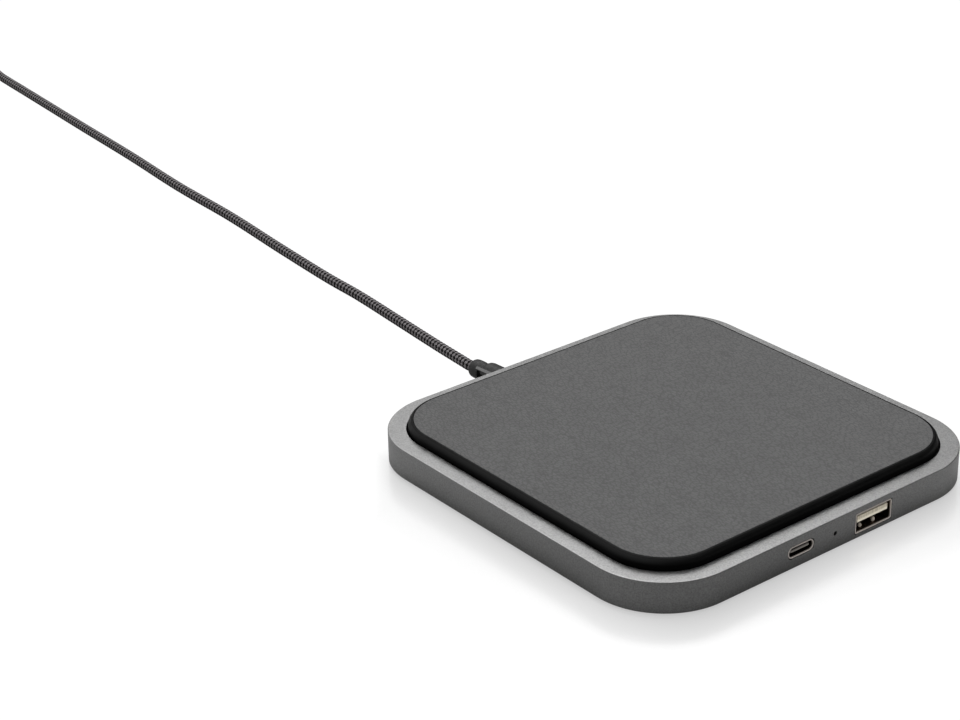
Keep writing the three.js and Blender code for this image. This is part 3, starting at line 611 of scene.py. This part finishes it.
def pedestal():
    """Black base that stands out of the rim, held in by a shoulder, with a shallow seat on top."""
    upper = [(PEDESTAL_HALF, 10.35), (54.66, 10.8), (54.5, 11.3), (54.22, 11.72), (53.95, 11.98),
             (53.74, 12.1), (53.56, 12.15), (53.42, 12.13), (53.37, 12.05), (53.37, LEATHER_BOTTOM)]
    rings = [flat(square(POCKET_HALF, POCKET_CORNER), z) for z in (POCKET_TOP, SKIRT_BOTTOM)]
    rings += [flat(square(SHOULDER_HALF, SHOULDER_CORNER), z) for z in (SKIRT_BOTTOM, SHOULDER_TOP)]
    rings.append(flat(square(PEDESTAL_HALF, PEDESTAL_CORNER), SHOULDER_TOP))
    rings += inset_rings(upper, PEDESTAL_HALF, PEDESTAL_CORNER)
    obj = new_object("pedestal", loft_mesh(rings), BLACK_PLASTIC)
    boolean(obj, box_mesh((USB_A_X - 7.1, -HALF, SKIRT_BOTTOM - 1), (USB_A_X + 7.1, -45.4, 7.85)))
    boolean(obj, box_mesh((BOOT_X - 5, 54, SKIRT_BOTTOM - 1), (BOOT_X + 5, HALF, SHOULDER_TOP + 1)))
    for x, y in CORNERS:
        post = lathe([(POST_RADIUS, COVER_TOP), (POST_RADIUS, POCKET_TOP + 0.5)], 40)
        boolean(obj, shifted(post, x * POST_AT, y * POST_AT, 0), "UNION")
        bore = lathe([(0.95, COVER_TOP - 1), (0.95, COVER_TOP + 4)], 24)
        boolean(obj, shifted(bore, x * POST_AT, y * POST_AT, 0))
    finish_piece(obj, "pad", "top_plate", angle=30)


def leather_sheet():
    edge = arc(LEATHER_HALF - LEATHER_FILLET, LEATHER_TOP - LEATHER_FILLET, LEATHER_FILLET, 0, 90, 6)
    profile = [(LEATHER_HALF, LEATHER_BOTTOM), *edge]
    rings = inset_rings(profile, LEATHER_HALF, LEATHER_CORNER)
    obj = new_object("leather_sheet", loft_mesh(rings), LEATHER)
    finish_piece(obj, "pad", "leather_pad", angle=40)


def underside():
    edge = arc(COVER_HALF - 0.2, TRAY_BOTTOM + 0.2, 0.2, 0, -90, 3)
    profile = [(COVER_HALF, COVER_TOP), *edge]
    rings = inset_rings(profile, COVER_HALF, COVER_CORNER)
    obj = new_object("cover", loft_mesh(rings), BLACK_PLASTIC)
    for x, y in BOARD_SCREWS:
        boss = lathe([(2.4, COVER_TOP - 0.5), (2.4, BOARD_BOTTOM)], 32)
        boolean(obj, shifted(boss, x, y, 0), "UNION")
        bore = lathe([(0.86, COVER_TOP - 0.7), (0.86, BOARD_BOTTOM + 1)], 24)
        boolean(obj, shifted(bore, x, y, 0))
    for x, y in CORNERS:
        well = lathe([(2.25, TRAY_BOTTOM - 0.1), (2.0, TRAY_BOTTOM + 0.15), (2.0, TRAY_BOTTOM + 0.7),
                      (1.2, TRAY_BOTTOM + 0.7), (1.2, COVER_TOP + 1)], 40)
        boolean(obj, shifted(well, x * POST_AT, y * POST_AT, 0))
    seat = square(GRIP_HALF + 0.15, GRIP_CORNER + 0.15)
    boolean(obj, loft_mesh([flat(seat, TRAY_BOTTOM - 1), flat(seat, TRAY_BOTTOM + 0.2)]))
    finish_piece(obj, "pad", "base_cover", angle=30)


def grip():
    """Rubber pad under the tray, with shallow grooves that follow its outline."""
    profile = [(GRIP_HALF, 0.8), (GRIP_HALF, 0.2), (GRIP_HALF - 0.06, 0.06), (GRIP_HALF - 0.2, 0.0)]
    for at in np.arange(GRIP_HALF - 2.4, 6.0, -2.4):
        profile += [(at + 0.45, 0.0), (at + 0.3, 0.22), (at - 0.3, 0.22), (at - 0.45, 0.0)]
    rings = [flat(square(h, max(GRIP_CORNER - (GRIP_HALF - h) * 0.3, 1.0)), z) for h, z in profile]
    obj = new_object("grip_pad", loft_mesh(rings), RUBBER)
    finish_piece(obj, "pad", "anti_slip_pad", angle=30)


def screw_mesh(head, height, shank, length):
    """Pan-head screw standing on its shank, the underside of the head at height zero."""
    pitch = 0.45
    profile = [(0.0, -length), (shank * 0.5, -length)]
    z = -length + 0.3
    while z < -0.4:
        profile += [(shank * 0.8, z - pitch * 0.25), (shank, z), (shank * 0.8, z + pitch * 0.25)]
        z += pitch
    profile += [(shank * 0.8, 0.0), (head, 0.0), (head, height * 0.45), (head * 0.95, height * 0.68),
                (head * 0.8, height * 0.88), (head * 0.5, height * 0.98), (0.0, height)]
    return lathe(profile, 40)


def screw(name, node, material, sizes, matrix):
    obj = new_object(name, moved(screw_mesh(*sizes), matrix), material)
    head, height = sizes[0], sizes[1]
    for long_x in (True, False):
        hx, hy = (head * 0.6, head * 0.12) if long_x else (head * 0.12, head * 0.6)
        deep = loft_mesh([flat(outline(hx * 0.8, hy * 0.8, hy, 3), height * 0.45),
                          flat(outline(hx, hy, min(hx, hy), 3), height + 0.3)])
        boolean(obj, moved(deep, matrix))
    finish_piece(obj, "pad", node)


def screws():
    upside_down = Matrix.Rotation(math.pi, 4, "X")
    for i, (x, y) in enumerate(CORNERS):
        at = Matrix.Translation((x * POST_AT, y * POST_AT, TRAY_BOTTOM + 0.7)) @ upside_down
        screw(f"case_screw_{i + 1}", f"cover_screw_{i + 1}", BLACK_STEEL,
              (1.8, 0.6, 0.9, 4.0), at)
    for i, (x, y) in enumerate(BOARD_SCREWS):
        at = Matrix.Translation((x, y, BOARD_TOP))
        screw(f"pcb_screw_{i + 1}", f"board_screw_{i + 1}", STEEL, (1.7, 0.8, 0.8, 2.2), at)


# ---------------- sockets


def sheet_strip(path, half_width, thickness, x, z):
    """A bent strip of sheet metal that runs along Y through (y, z) pairs."""
    rings = []
    for i, (y, height) in enumerate(path):
        before, after = path[max(i - 1, 0)], path[min(i + 1, len(path) - 1)]
        tilt = math.atan2(after[1] - before[1], after[0] - before[0])
        ny, nz = -math.sin(tilt) * thickness / 2, math.cos(tilt) * thickness / 2
        taper = half_width - (0.25 if i in (0, len(path) - 1) else 0.0)
        rings.append([
            (x - taper, y - ny, z + height - nz), (x + taper, y - ny, z + height - nz),
            (x + taper, y + ny, z + height + nz), (x - taper, y + ny, z + height + nz),
        ])
    return loft_mesh(rings)


def rolled_mouth(front):
    """(inset, y) pairs round the half-circle edge of a socket's shell."""
    half = SHELL_WALL / 2
    return [
        (half * (1 + math.cos(t)), front + half * (1 - math.sin(t))) for t in np.linspace(0, math.pi, 7)
    ]


def usb_a_socket():
    """Stamped shell, its two floor springs, the insulator's tongue and four contacts."""
    front, back = SOCKET_FRONT, SOCKET_FRONT + USB_A_DEPTH
    depths = [(SHELL_WALL, back - SHELL_WALL), *rolled_mouth(front), (0.0, back)]
    sections = [(USB_A_HALF_X - inset, USB_A_HALF_Z - inset, 0.62 - inset * 0.9, y) for inset, y in depths]
    can = upright_loft(sections, USB_A_X, USB_A_Z)
    floor = -USB_A_HALF_Z + SHELL_WALL
    hump = [(-59.0, 0.02), (-58.6, 0.06), (-58.1, 0.16), (-57.7, 0.22),
            (-57.2, 0.24), (-56.0, 0.2), (-54.2, 0.08), (-53.4, 0.02)]
    springs = [sheet_strip(hump, 1.15, 0.22, USB_A_X + side * 2.7, USB_A_Z + floor) for side in (-1, 1)]
    obj = new_object("usb_a_can", merged(can, *springs), SOCKET_STEEL)
    # The domed spring tips take the light finish: painted highlights.
    obj.data.materials.append(TIP_HIGHLIGHT)
    r, rise = 0.6, 0.5    # radius of a spring's domed tip, and the height where the dome starts
    dome = [(r * math.cos(t), rise + r * math.sin(t)) for t in np.linspace(0, math.pi / 2, 8)]
    for x in (-3.15, 1.75):
        join_on(obj, shifted(lathe([(r, 0.0), *dome], 24), USB_A_X + x, -58.0, USB_A_Z + floor), 1)
    finish_piece(obj, "pad", "usb_a_shell")

    lip = front + 0.4
    under, thick, half = -0.05, 1.84, 5.6
    block = back - SHELL_WALL - 3.2
    profile = [(half - 0.35, lip, 0.3), (half - 0.1, lip + 0.1, 0.08),
               (half, lip + 0.35, 0.0), (half, block + 1, 0.0)]
    sections = [(hx, thick / 2 - inset, 0.16, y) for hx, y, inset in profile]
    tongue = upright_loft(sections, USB_A_X, USB_A_Z + under + thick / 2, 4)
    hx, hz = USB_A_HALF_X - SHELL_WALL - 0.05, USB_A_HALF_Z - SHELL_WALL - 0.05
    depths = ((0.15, block), (0.0, block + 0.15), (0.0, back - SHELL_WALL - 0.05))
    rear = upright_loft([(hx - inset, hz - inset, 0.3, y) for inset, y in depths], USB_A_X, USB_A_Z, 4)
    obj = new_object("usb_a_insulator", tongue, CREAM)
    boolean(obj, rear, "UNION")
    finish_piece(obj, "pad", "usb_a_tongue")

    for i, offset in enumerate(CONTACT_OFFSETS):
        path = [(lip + 0.8, -0.02), (lip + 1.2, -0.1), (lip + 2.0, -0.2),
                (lip + 3.4, -0.14), (lip + 5.0, -0.1), (block - 0.06, -0.1)]
        strip = sheet_strip(path, 0.5, 0.16, USB_A_X + offset, USB_A_Z + under)
        obj = new_object(f"usb_a_spring_{i + 1}", strip, GOLD)
        finish_piece(obj, "pad", f"usb_a_contact_{i + 1}", angle=50)


def usb_c_socket():
    front, back = SOCKET_FRONT, SOCKET_FRONT + USB_C_DEPTH
    depths = [(SHELL_WALL, back), *rolled_mouth(front), (0.0, back)]
    sections = [(USB_C_HALF_X - inset, USB_C_HALF_Z - inset, 1.5 - inset, y) for inset, y in depths]
    obj = new_object("usb_c_can", upright_loft(sections, USB_C_X, USB_C_Z, 12, "closed"), SOCKET_STEEL)
    finish_piece(obj, "pad", "usb_c_shell")

    block = back - 2
    hx, hz = USB_C_HALF_X - SHELL_WALL - 0.05, USB_C_HALF_Z - SHELL_WALL - 0.05
    rear = upright_loft([(hx, hz, 1.15, y) for y in (block, back)], USB_C_X, USB_C_Z, 12)
    sections = ((3.15, 0.2, 0.18, front + 0.5), (3.35, 0.35, 0.18, front + 0.75),
                (3.35, 0.35, 0.18, block + 1))
    tongue = upright_loft(sections, USB_C_X, USB_C_Z, 4)
    obj = new_object("usb_c_insulator", rear, C_INSULATOR)
    boolean(obj, tongue, "UNION")
    for row in (-1, 1):
        for i in range(12):
            x = USB_C_X + (i - 5.5) * 0.5
            pad = box_mesh((x - 0.13, front + 1.1, USB_C_Z + row * 0.37 - 0.05),
                           (x + 0.13, front + 4.6, USB_C_Z + row * 0.37 + 0.05))
            boolean(obj, pad)
    finish_piece(obj, "pad", "usb_c_tongue")


def status_window():
    """Clear pin with a domed end, deep in its hole, on a collar behind the wall."""
    tip, wall = -HALF + 0.9, -HALF + WALL
    profile = [(0.0, tip), (0.18, tip + 0.02), (0.33, tip + 0.1), (LED_PIN, tip + 0.26),
               (LED_PIN, wall + 0.5), (1.1, wall + 0.5), (1.2, wall + 0.6), (1.2, wall + 3.7),
               (1.1, wall + 3.8), (0.0, wall + 3.8)]
    obj = new_object("status_window", turned_along_y(profile, LED_X, LED_Z, 40), SMOKED)
    finish_piece(obj, "pad", "light_pipe")


# ---------------- cable


def catmull_rom(points, per_span=200):
    """A centripetal Catmull-Rom line through the points, its ends continued straight."""
    pts = np.array(points, float)
    pts = np.vstack([2 * pts[0] - pts[1], pts, 2 * pts[-1] - pts[-2]])
    out = []
    for i in range(1, len(pts) - 2):
        p0, p1, p2, p3 = pts[i - 1:i + 3]
        d0, d1, d2 = (np.linalg.norm(b - a) ** 0.5 for a, b in ((p0, p1), (p1, p2), (p2, p3)))
        m1 = ((p1 - p0) / d0 - (p2 - p0) / (d0 + d1) + (p2 - p1) / d1) * d1
        m2 = ((p2 - p1) / d1 - (p3 - p1) / (d1 + d2) + (p3 - p2) / d2) * d1
        t = np.linspace(0, 1, per_span, endpoint=False)[:, None]
        out.append((2 * t**3 - 3 * t**2 + 1) * p1 + (t**3 - 2 * t**2 + t) * m1
                   + (3 * t**2 - 2 * t**3) * p2 + (t**3 - t**2) * m2)
    out.append(pts[-2:-1])
    return np.vstack(out)


class Line:
    """The cable's centre line, by distance from the boot's mouth. Negative distances are in the boot."""

    def __init__(self):
        line = catmull_rom(CABLE_POINTS)
        line[:, 2] = np.maximum(line[:, 2], CABLE_RADIUS)
        into_boot = np.array([0.0, -math.cos(BOOT_DROOP), math.sin(BOOT_DROOP)])
        self.points = np.vstack([line[0] + into_boot * 7.0, line])
        lengths = np.linalg.norm(np.diff(self.points, axis=0), axis=1)
        self.at = np.concatenate([[0.0], np.cumsum(lengths)]) - 7.0
        self.length = self.at[-1]

    def centre(self, s):
        return np.stack([np.interp(s, self.at, self.points[:, k]) for k in range(3)], axis=-1)

    def frames(self, s):
        """Centres and the two unit vectors across the cable, sideways and upwards."""
        ahead = self.centre(s + 0.6) - self.centre(s - 0.6)
        ahead /= np.linalg.norm(ahead, axis=1)[:, None]
        side = np.cross(ahead, (0, 0, 1))
        side /= np.linalg.norm(side, axis=1)[:, None]
        return self.centre(s), side, np.cross(side, ahead)


LINE = Line()
CARRIERS = 8    # strands in each direction
LAY = 13.6    # length of one turn of a strand
PER_TURN = 48    # sections in a turn
STRAND_HALF = 0.5    # half the width of a flat strand
BRAID_MEAN = 1.47    # radius about which strands weave
BRAID_WAVE = 0.1
LOBE = 0.1    # height of the yarns that make up a strand
YARNS = 2    # yarns side by side in a strand
CROSS_SECTION = 7    # points across the top of a strand
CORE_RADIUS = 1.3


def strand_section():
    """Half-round yarns side by side on a flat back: (across, up) pairs."""
    top = []
    for i in range(CROSS_SECTION):
        u = i / (CROSS_SECTION - 1)
        yarn = abs(math.sin(math.pi * YARNS * u))
        shoulder = math.sqrt(max(1 - (2 * u - 1) ** 4, 0.0))
        top.append(((2 * u - 1) * STRAND_HALF, LOBE * (0.35 + 0.65 * yarn) * (0.3 + 0.7 * shoulder)))
    return top + [(STRAND_HALF * 0.9, -0.1), (-STRAND_HALF * 0.9, -0.1)]


def strand(start, end, direction, index):
    """One strand wound round the cable: its points, faces, and each point's place across and along it."""
    count = max(int((end - start) / LAY * PER_TURN), 4)
    s = np.linspace(start, end, count + 1)
    crossing = LAY / (2 * CARRIERS)
    weave = direction * np.cos(math.pi * s / crossing)
    angle = direction * 2 * math.pi * (s / LAY + index / CARRIERS)
    radius = BRAID_MEAN + BRAID_WAVE * weave
    centre, side, up = LINE.frames(s)
    out = np.cos(angle)[:, None] * side + np.sin(angle)[:, None] * up
    path = centre + out * radius[:, None]
    ahead = np.gradient(path, axis=0)
    ahead /= np.linalg.norm(ahead, axis=1)[:, None]
    wide = np.cross(ahead, out)
    wide /= np.linalg.norm(wide, axis=1)[:, None]
    rise = np.cross(wide, ahead)
    section = strand_section()
    points = np.concatenate([
        (path + wide * a + rise * (b - 0.5 * a * a / radius[:, None]))[:, None, :] for a, b in section
    ], axis=1)
    across = np.tile([a / STRAND_HALF for a, _ in section], count + 1)
    along = np.repeat(s * 1.7, len(section))
    return *loft_mesh(points), across, along


def core(start, end):
    """Dark sleeve under the strands, which closes the gaps between them."""
    s = np.linspace(start, end, max(int(end - start), 8))
    centre, side, up = LINE.frames(s)
    turn = np.linspace(0, 2 * math.pi, 20, endpoint=False)
    return loft_mesh([
        [tuple(c + (a * math.cos(t) + b * math.sin(t)) * CORE_RADIUS) for t in turn]
        for c, a, b in zip(centre, side, up)
    ])


def braid_length(name, start, end, node):
    """All strands of one length of cable, as one mesh that carries each strand's tint."""
    verts, faces, tint, across, along = [], [], [], [], []
    for direction in (1, -1):
        for index in range(CARRIERS):
            points, quads, a, b = strand(start, end, direction, index)
            faces += [tuple(i + len(verts) for i in q) for q in quads]
            verts += [tuple(p) for p in points]
            tint += [1.0 if direction > 0 else 0.0] * len(points)
            across += list(a)
            along += list(b)
    inner, inner_faces = core(start, end)
    faces += [tuple(i + len(verts) for i in f) for f in inner_faces]
    verts += inner
    for values in (tint, across, along):
        values += [0.0] * len(inner)
    data = bpy.data.meshes.new(name)
    data.from_pydata([(x * MM, y * MM, z * MM) for x, y, z in verts], [], faces)
    for key, values in (("tint", tint), ("across", across), ("along", along)):
        layer = data.attributes.new(key, "FLOAT", "POINT")
        layer.data.foreach_set("value", np.array(values, np.float32))
    data.materials.append(BRAID)
    data.shade_smooth()
    obj = placed(name, data)
    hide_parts(node)
    return obj


def cable():
    seams = (-5.5, (SWING_AT + 24 + LIFT_AT - BEND) / 2, CURL_AT - BEND - 3.0, LINE.length - PLUG_NECK + 0.6)
    near = braid_length("braid_near", seams[0], seams[1], "cable_near")
    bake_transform(near)
    mid = braid_length("braid_mid", seams[1], seams[2], "cable_mid")
    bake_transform(mid)
    far = braid_length("braid_far", seams[2], seams[3], "cable_far")
    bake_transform(far)


RIBS = ((-1, math.radians(40)), (1, math.radians(12)))    # side and tilt of each rib on the boot, whose outer face carries a painted highlight
RIB_TOP = 3.62
RIB_FACE_AREA = 2e-6    # in square metres, smaller than a rib's outer face


def boot():
    """Moulded grommet turned about the cable's line, with a hole for the braid in its mouth."""
    mouth = BOOT_LENGTH
    outer = [(2.2, -2.7), (2.2, 0.05), (3.2, 0.05), (3.46, 0.2), (3.55, 0.5), (3.56, 6.0), (3.48, 6.5),
             (3.25, 7.0), (2.9, 7.45), (2.6, 7.75), (2.42, 8.1), (2.38, 8.5), (2.45, 8.9), (2.6, 9.3),
             (2.72, 9.7), (2.76, 10.2), (2.78, 11.2), (2.76, 12.2), (2.68, 12.8), (2.5, 13.2),
             (2.3, 13.36), (2.1, mouth)]
    inner = [(1.82, mouth), (1.7, mouth - 0.2), (1.7, mouth - 3.4), (0.0, mouth - 3.4)]
    turned = lathe([(0.0, -2.7), *outer, *inner], 72)
    depths = ((-3.9, 0.2), (-3.7, 0.0), (-2.3, 0.0))
    flange = upright_loft([(4.5 - inset, 1.5 - inset, 0.6, y) for y, inset in depths], steps=6)
    body = [(x, z, y) for x, y, z in turned[0]], turned[1]
    at = Matrix.Translation((BOOT_X, HALF, BOOT_Z)) @ Matrix.Rotation(-BOOT_DROOP, 4, "X")
    obj = new_object("boot", moved(body, at), RUBBER)
    obj.data.materials.append(RUBBER_HIGHLIGHT)
    boolean(obj, moved(flange, at), "UNION")
    for side, tilt in RIBS:
        slot = upright_loft([(1.75, 1.1, 0.4, y) for y in (1.6, 9.3)], side * 3.25, 0.1, 6)
        boolean(obj, moved(slot, at))
        turn = Matrix.Rotation(-side * tilt, 4, "Y")
        sections = ((0.8, 0.68, 0.2, 0.8), (0.8, 0.58, 0.2, 9.0))
        rib = upright_loft(sections, side * (RIB_TOP - 0.8), steps=3)
        boolean(obj, moved(rib, at @ turn), "UNION")
    # The ribs' outer faces take the lighter rubber: a painted highlight.
    outward = [Vector((side * math.cos(tilt), 0, math.sin(tilt))) for side, tilt in RIBS]
    for face in obj.data.polygons:
        if face.area > RIB_FACE_AREA and any(face.normal.dot(normal) > 0.998 for normal in outward):
            face.material_index = 1
    finish_piece(obj, "pad", "strain_relief")


# ---------------- plug


def plug():
    body = "cable_far_link"
    hx, hz = 7.8, 3.75
    sections = [(2.0, 2.0, 2.0, -PLUG_NECK), (2.35, 2.35, 2.35, -PLUG_NECK + 0.12)]
    y = -PLUG_NECK + 0.5
    for _ in range(3):
        sections += [(r, r, r, y + step) for r, step in ((2.5, 0.0), (2.75, 0.2), (2.75, 1.0), (2.4, 1.15))]
        y += 1.55
    sections += [(2.7, 2.6, 2.6, -1.1), (3.3, 2.8, 2.7, -0.5), (4.9, 3.1, 2.8, -0.05)]
    sections += [(hx - 1.0 + math.sin(t) * 1.0, hz - 0.5 + math.sin(t) * 0.5, 2.6, 1.0 - math.cos(t))
                 for t in np.linspace(0.25, math.pi / 2, 6)]
    sections += [(hx, hz, 2.6, PLUG_LENGTH - 0.6), (hx - 0.18, hz - 0.18, 2.45, PLUG_LENGTH - 0.18),
                 (hx - 0.6, hz - 0.6, 2.1, PLUG_LENGTH)]
    sections = [(a, b, r, PLUG_Y + y) for a, b, r, y in sections]
    obj = new_object("plug_grip", upright_loft(sections, PLUG_X, PLUG_Z, 10), RUBBER)
    end = PLUG_Y + PLUG_LENGTH
    boolean(obj, upright_loft([(6.0, 2.2, 0.3, y) for y in (end - 3, end + 1)], PLUG_X, PLUG_Z, 4))
    entry = [(1.7, PLUG_Y - PLUG_NECK - 0.5), (1.7, PLUG_Y - PLUG_NECK + 1.2)]
    boolean(obj, turned_along_y(entry, PLUG_X, PLUG_Z, 32))
    finish_piece(obj, body, "plug_body")

    front = end + 0.05
    tip = front + PLUG_NOSE
    depths = [(0.3, front + 0.3), (0.3, tip - 0.08), (0.24, tip - 0.01), (0.14, tip), (0.05, tip - 0.05),
              (0.0, tip - 0.15), (0.0, front)]
    sections = [(6.0 - inset, 2.25 - inset, 0.55 - inset, y) for inset, y in depths]
    obj = new_object("plug_can", upright_loft(sections, PLUG_X, PLUG_Z), STEEL)
    for side in (-1, 1):
        window = [(PLUG_X + side * 2.9 + a, front + 6.4 + b) for a, b in outline(1.1, 1.2, 0.15, 3)]
        boolean(obj, loft_mesh([flat(window, PLUG_Z + 1.0), flat(window, PLUG_Z + 3.0)]))
    finish_piece(obj, body, "plug_shell")

    low = PLUG_Z - 2.25 + 0.35
    start = front + 0.35
    blade = [(5.65, start, 0.0), (5.65, start + 10.5, 0.0), (5.5, start + 10.8, 0.25)]
    rings = [
        upright_xz(outline(a, 0.9 - inset, 0.12, 3), y, PLUG_X, low + 0.9 - inset) for a, y, inset in blade
    ]
    obj = new_object("plug_insulator", loft_mesh(rings), BLACK_PLASTIC)
    finish_piece(obj, body, "plug_tongue")
    for i, offset in enumerate(CONTACT_OFFSETS):
        path = [(end + 2.0, 0.02), (end + 2.4, 0.08), (end + 9.5, 0.08), (end + 10.0, 0.02)]
        strip = sheet_strip(path, 0.5, 0.12, PLUG_X + offset, low + 1.8)
        obj = new_object(f"plug_finger_{i + 1}", strip, GOLD)
        finish_piece(obj, body, f"plug_contact_{i + 1}", angle=50)


# ---------------- inside


INSIDE = {
    "main_board": BOARD, "charging_coil": COPPER, "ferrite_disc": FERRITE, "coil_tape": TAPE,
    "coil_lead_inner": COPPER, "coil_lead_outer": COPPER, "driver_chip": CHIP, "port_chip": CHIP,
    "power_inductor": CHIP, "capacitor_1": CAPACITOR, "capacitor_2": CAPACITOR, "capacitor_3": CAPACITOR,
    "status_led": CLEAR, "cable_lead_positive": RED_WIRE, "cable_lead_negative": BLACK_WIRE,
}


def dress_inside():
    """The solids inside the tray keep their shapes, with broken edges and their own finishes."""
    for name, material in INSIDE.items():
        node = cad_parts[name]
        node.data.materials.clear()
        node.data.materials.append(material)
        weld = node.modifiers.new("Weld", "WELD")
        weld.merge_threshold = 1e-6
        bevel = node.modifiers.new("Bevel", "BEVEL")
        bevel.width = 0.08 * MM
        bevel.segments = 2
        bevel.angle_limit = math.radians(40)
        node.modifiers.new("WeightedNormal", "WEIGHTED_NORMAL").keep_sharp = True


# ---------------- light and camera

OVERHEAD, LEFTWARDS, FORWARDS = (0, 0, 1), (-0.787, 0.617, 0), (0.617, 0.787, 0)    # as the camera looks
STUDIO = ((OVERHEAD, 0.36, 0.66, 0.308), (LEFTWARDS, -0.3, 0.7, 0.545), (FORWARDS, 0.2, 0.95, 0.026))
TABLE_REACH, TABLE_TOP = 12.0, -3e-5    # in metres, a hair below the rubber
CAMERA_TURN = (-38.11, 25.94, -1.17)    # azimuth, elevation and roll, in degrees
CAMERA_AT = (-0.374895, -0.3963, 0.29659)
LENS = 86.24


def emission_world():
    """Studio that brightens overhead and to the left of the camera. The camera itself sees plain white."""
    world = bpy.data.worlds.new("studio")
    bpy.context.scene.world = world
    world.use_nodes = True
    n = Nodes(world.node_tree)
    place = n.node("ShaderNodeTexCoord").outputs["Generated"]
    total = 0.0
    for direction, low, high, gain in STUDIO:
        total = n.math("ADD", total, n.fit(n.dot(place, direction), low, high, 0.0, gain))
    studio = n.tree.nodes["Background"]
    n.feed(studio.inputs["Color"], total)
    white = n.node("ShaderNodeBackground", {"Color": (1, 1, 1, 1), "Strength": 1.05})
    n.show(n.tree.nodes["World Output"], white.outputs["Background"], studio.outputs["Background"])


def floor():
    """White table. It shows white to the camera and dimmer to the object, so that dark sides stay dark."""
    r, z = TABLE_REACH, TABLE_TOP
    data = bpy.data.meshes.new("table")
    data.from_pydata([(-r, -r, z), (r, -r, z), (r, r, z), (-r, r, z)], [], [(0, 1, 2, 3)])
    material = bpy.data.materials.new("table")
    material.use_nodes = True
    n = Nodes(material.node_tree)
    n.tree.nodes.remove(n.tree.nodes["Principled BSDF"])
    place = n.node("ShaderNodeNewGeometry").outputs["Position"]
    axes = n.node("ShaderNodeSeparateXYZ", {"Vector": place}).outputs

    # The fourth root of x^4 + y^4, whose contours are rounded squares like the tray.
    squares = n.node("ShaderNodeVectorMath", {0: place, 1: place}, operation="MULTIPLY").outputs["Vector"]
    length = n.node("ShaderNodeVectorMath", {0: squares}, operation="LENGTH").outputs["Value"]
    outwards = n.math("SQRT", length)

    # One where the table turns plain white: behind the tray, past its outline, and away from it.
    sideways = n.math("ABSOLUTE", n.dot(place, LEFTWARDS))
    plain = 0.0
    edges = ((axes["X"], 0.05, 0.07), (axes["Y"], 0.045, 0.066),
             (sideways, 0.074, 0.083), (outwards, 0.068, 0.09))
    for distance, low, high in edges:
        plain = n.math("MAXIMUM", plain, n.fit(distance, low, high, 0.0, 1.0))
    # Near the tray the glow drops, leaving a grey region round its near sides: painted shadow, with the real
    # shading of the matt and gloss parts on top.
    glow = n.node("ShaderNodeEmission", {"Strength": n.fit(plain, 0.0, 1.0, 0.485, 1.02)})
    matt = n.node("ShaderNodeBsdfDiffuse", {"Color": n.fit(plain, 0.0, 1.0, 0.28, 0.0)})
    gloss = n.node("ShaderNodeBsdfGlossy", {"Color": n.fit(plain, 0.0, 1.0, 0.18, 0.03), "Roughness": 0.22})
    lit = n.node("ShaderNodeAddShader", {0: matt.outputs["BSDF"], 1: gloss.outputs["BSDF"]})
    seen = n.node("ShaderNodeAddShader", {0: glow.outputs["Emission"], 1: lit.outputs["Shader"]})

    # What the object's own surfaces see of the table.
    ahead = n.dot(place, FORWARDS)
    dim = n.fit(ahead, -0.12, 0.02, 0.27, 0.43)
    # Beyond the tray, where the cable lies, the table is dimmer still, so the cable's underside stays dark:
    # painted shade. Close beside the walls it is darker again: a painted contact shadow that the walls
    # reflect.
    shaded_under_cable = n.math("MULTIPLY", dim, n.fit(ahead, 0.05, 0.09, 1.0, 0.5))
    shaded_by_walls = n.math("MULTIPLY", shaded_under_cable, n.fit(outwards, 0.0605, 0.067, 0.72, 1.0))
    soft = n.node("ShaderNodeBsdfDiffuse", {"Color": shaded_by_walls})
    n.show(n.tree.nodes["Material Output"], seen.outputs["Shader"], soft.outputs["BSDF"])
    data.materials.append(material)
    placed("table", data)


def area_light(name, place, target, size, power, glossy=True):
    data = bpy.data.lights.new(name, "AREA")
    data.shape = "SQUARE"
    data.size = size
    data.energy = power
    obj = placed(name, data)
    obj.location = place
    obj.rotation_euler = (Vector(target) - Vector(place)).to_track_quat("-Z", "Y").to_euler()
    obj.visible_camera = False
    obj.visible_glossy = glossy


def camera():
    azimuth, elevation, roll = (math.radians(a) for a in CAMERA_TURN)
    level = math.cos(elevation)
    back = Vector((math.sin(azimuth) * level, -math.cos(azimuth) * level, math.sin(elevation)))
    right = (-back).cross(Vector((0, 0, 1))).normalized()
    up = right.cross(-back)
    x = math.cos(roll) * right + math.sin(roll) * up
    y = math.cos(roll) * up - math.sin(roll) * right
    data = bpy.data.cameras.new("camera")
    data.lens = LENS
    data.sensor_width = 36.0
    obj = placed("camera", data)
    obj.matrix_world = Matrix.Translation(CAMERA_AT) @ Matrix((x, y, back)).transposed().to_4x4()
    bpy.context.scene.camera = obj


# ---------------- everything

tray()
pedestal()
leather_sheet()
underside()
grip()
screws()
usb_a_socket()
usb_c_socket()
status_window()
boot()
cable()
plug()
dress_inside()
emission_world()
floor()
area_light("overhead", (0.25, 0.35, 0.95), (0, 0.05, 0), 1.1, 7.5)
area_light("low", (0.45, 0.6, 0.62), (0, 0, 0), 0.6, 0.75)
area_light("front", (0.15, -0.9, 0.2), (0, -0.06, 0.005), 0.4, 4.0, glossy=False)
camera()
bpy.context.scene.view_settings.view_transform = "Standard"
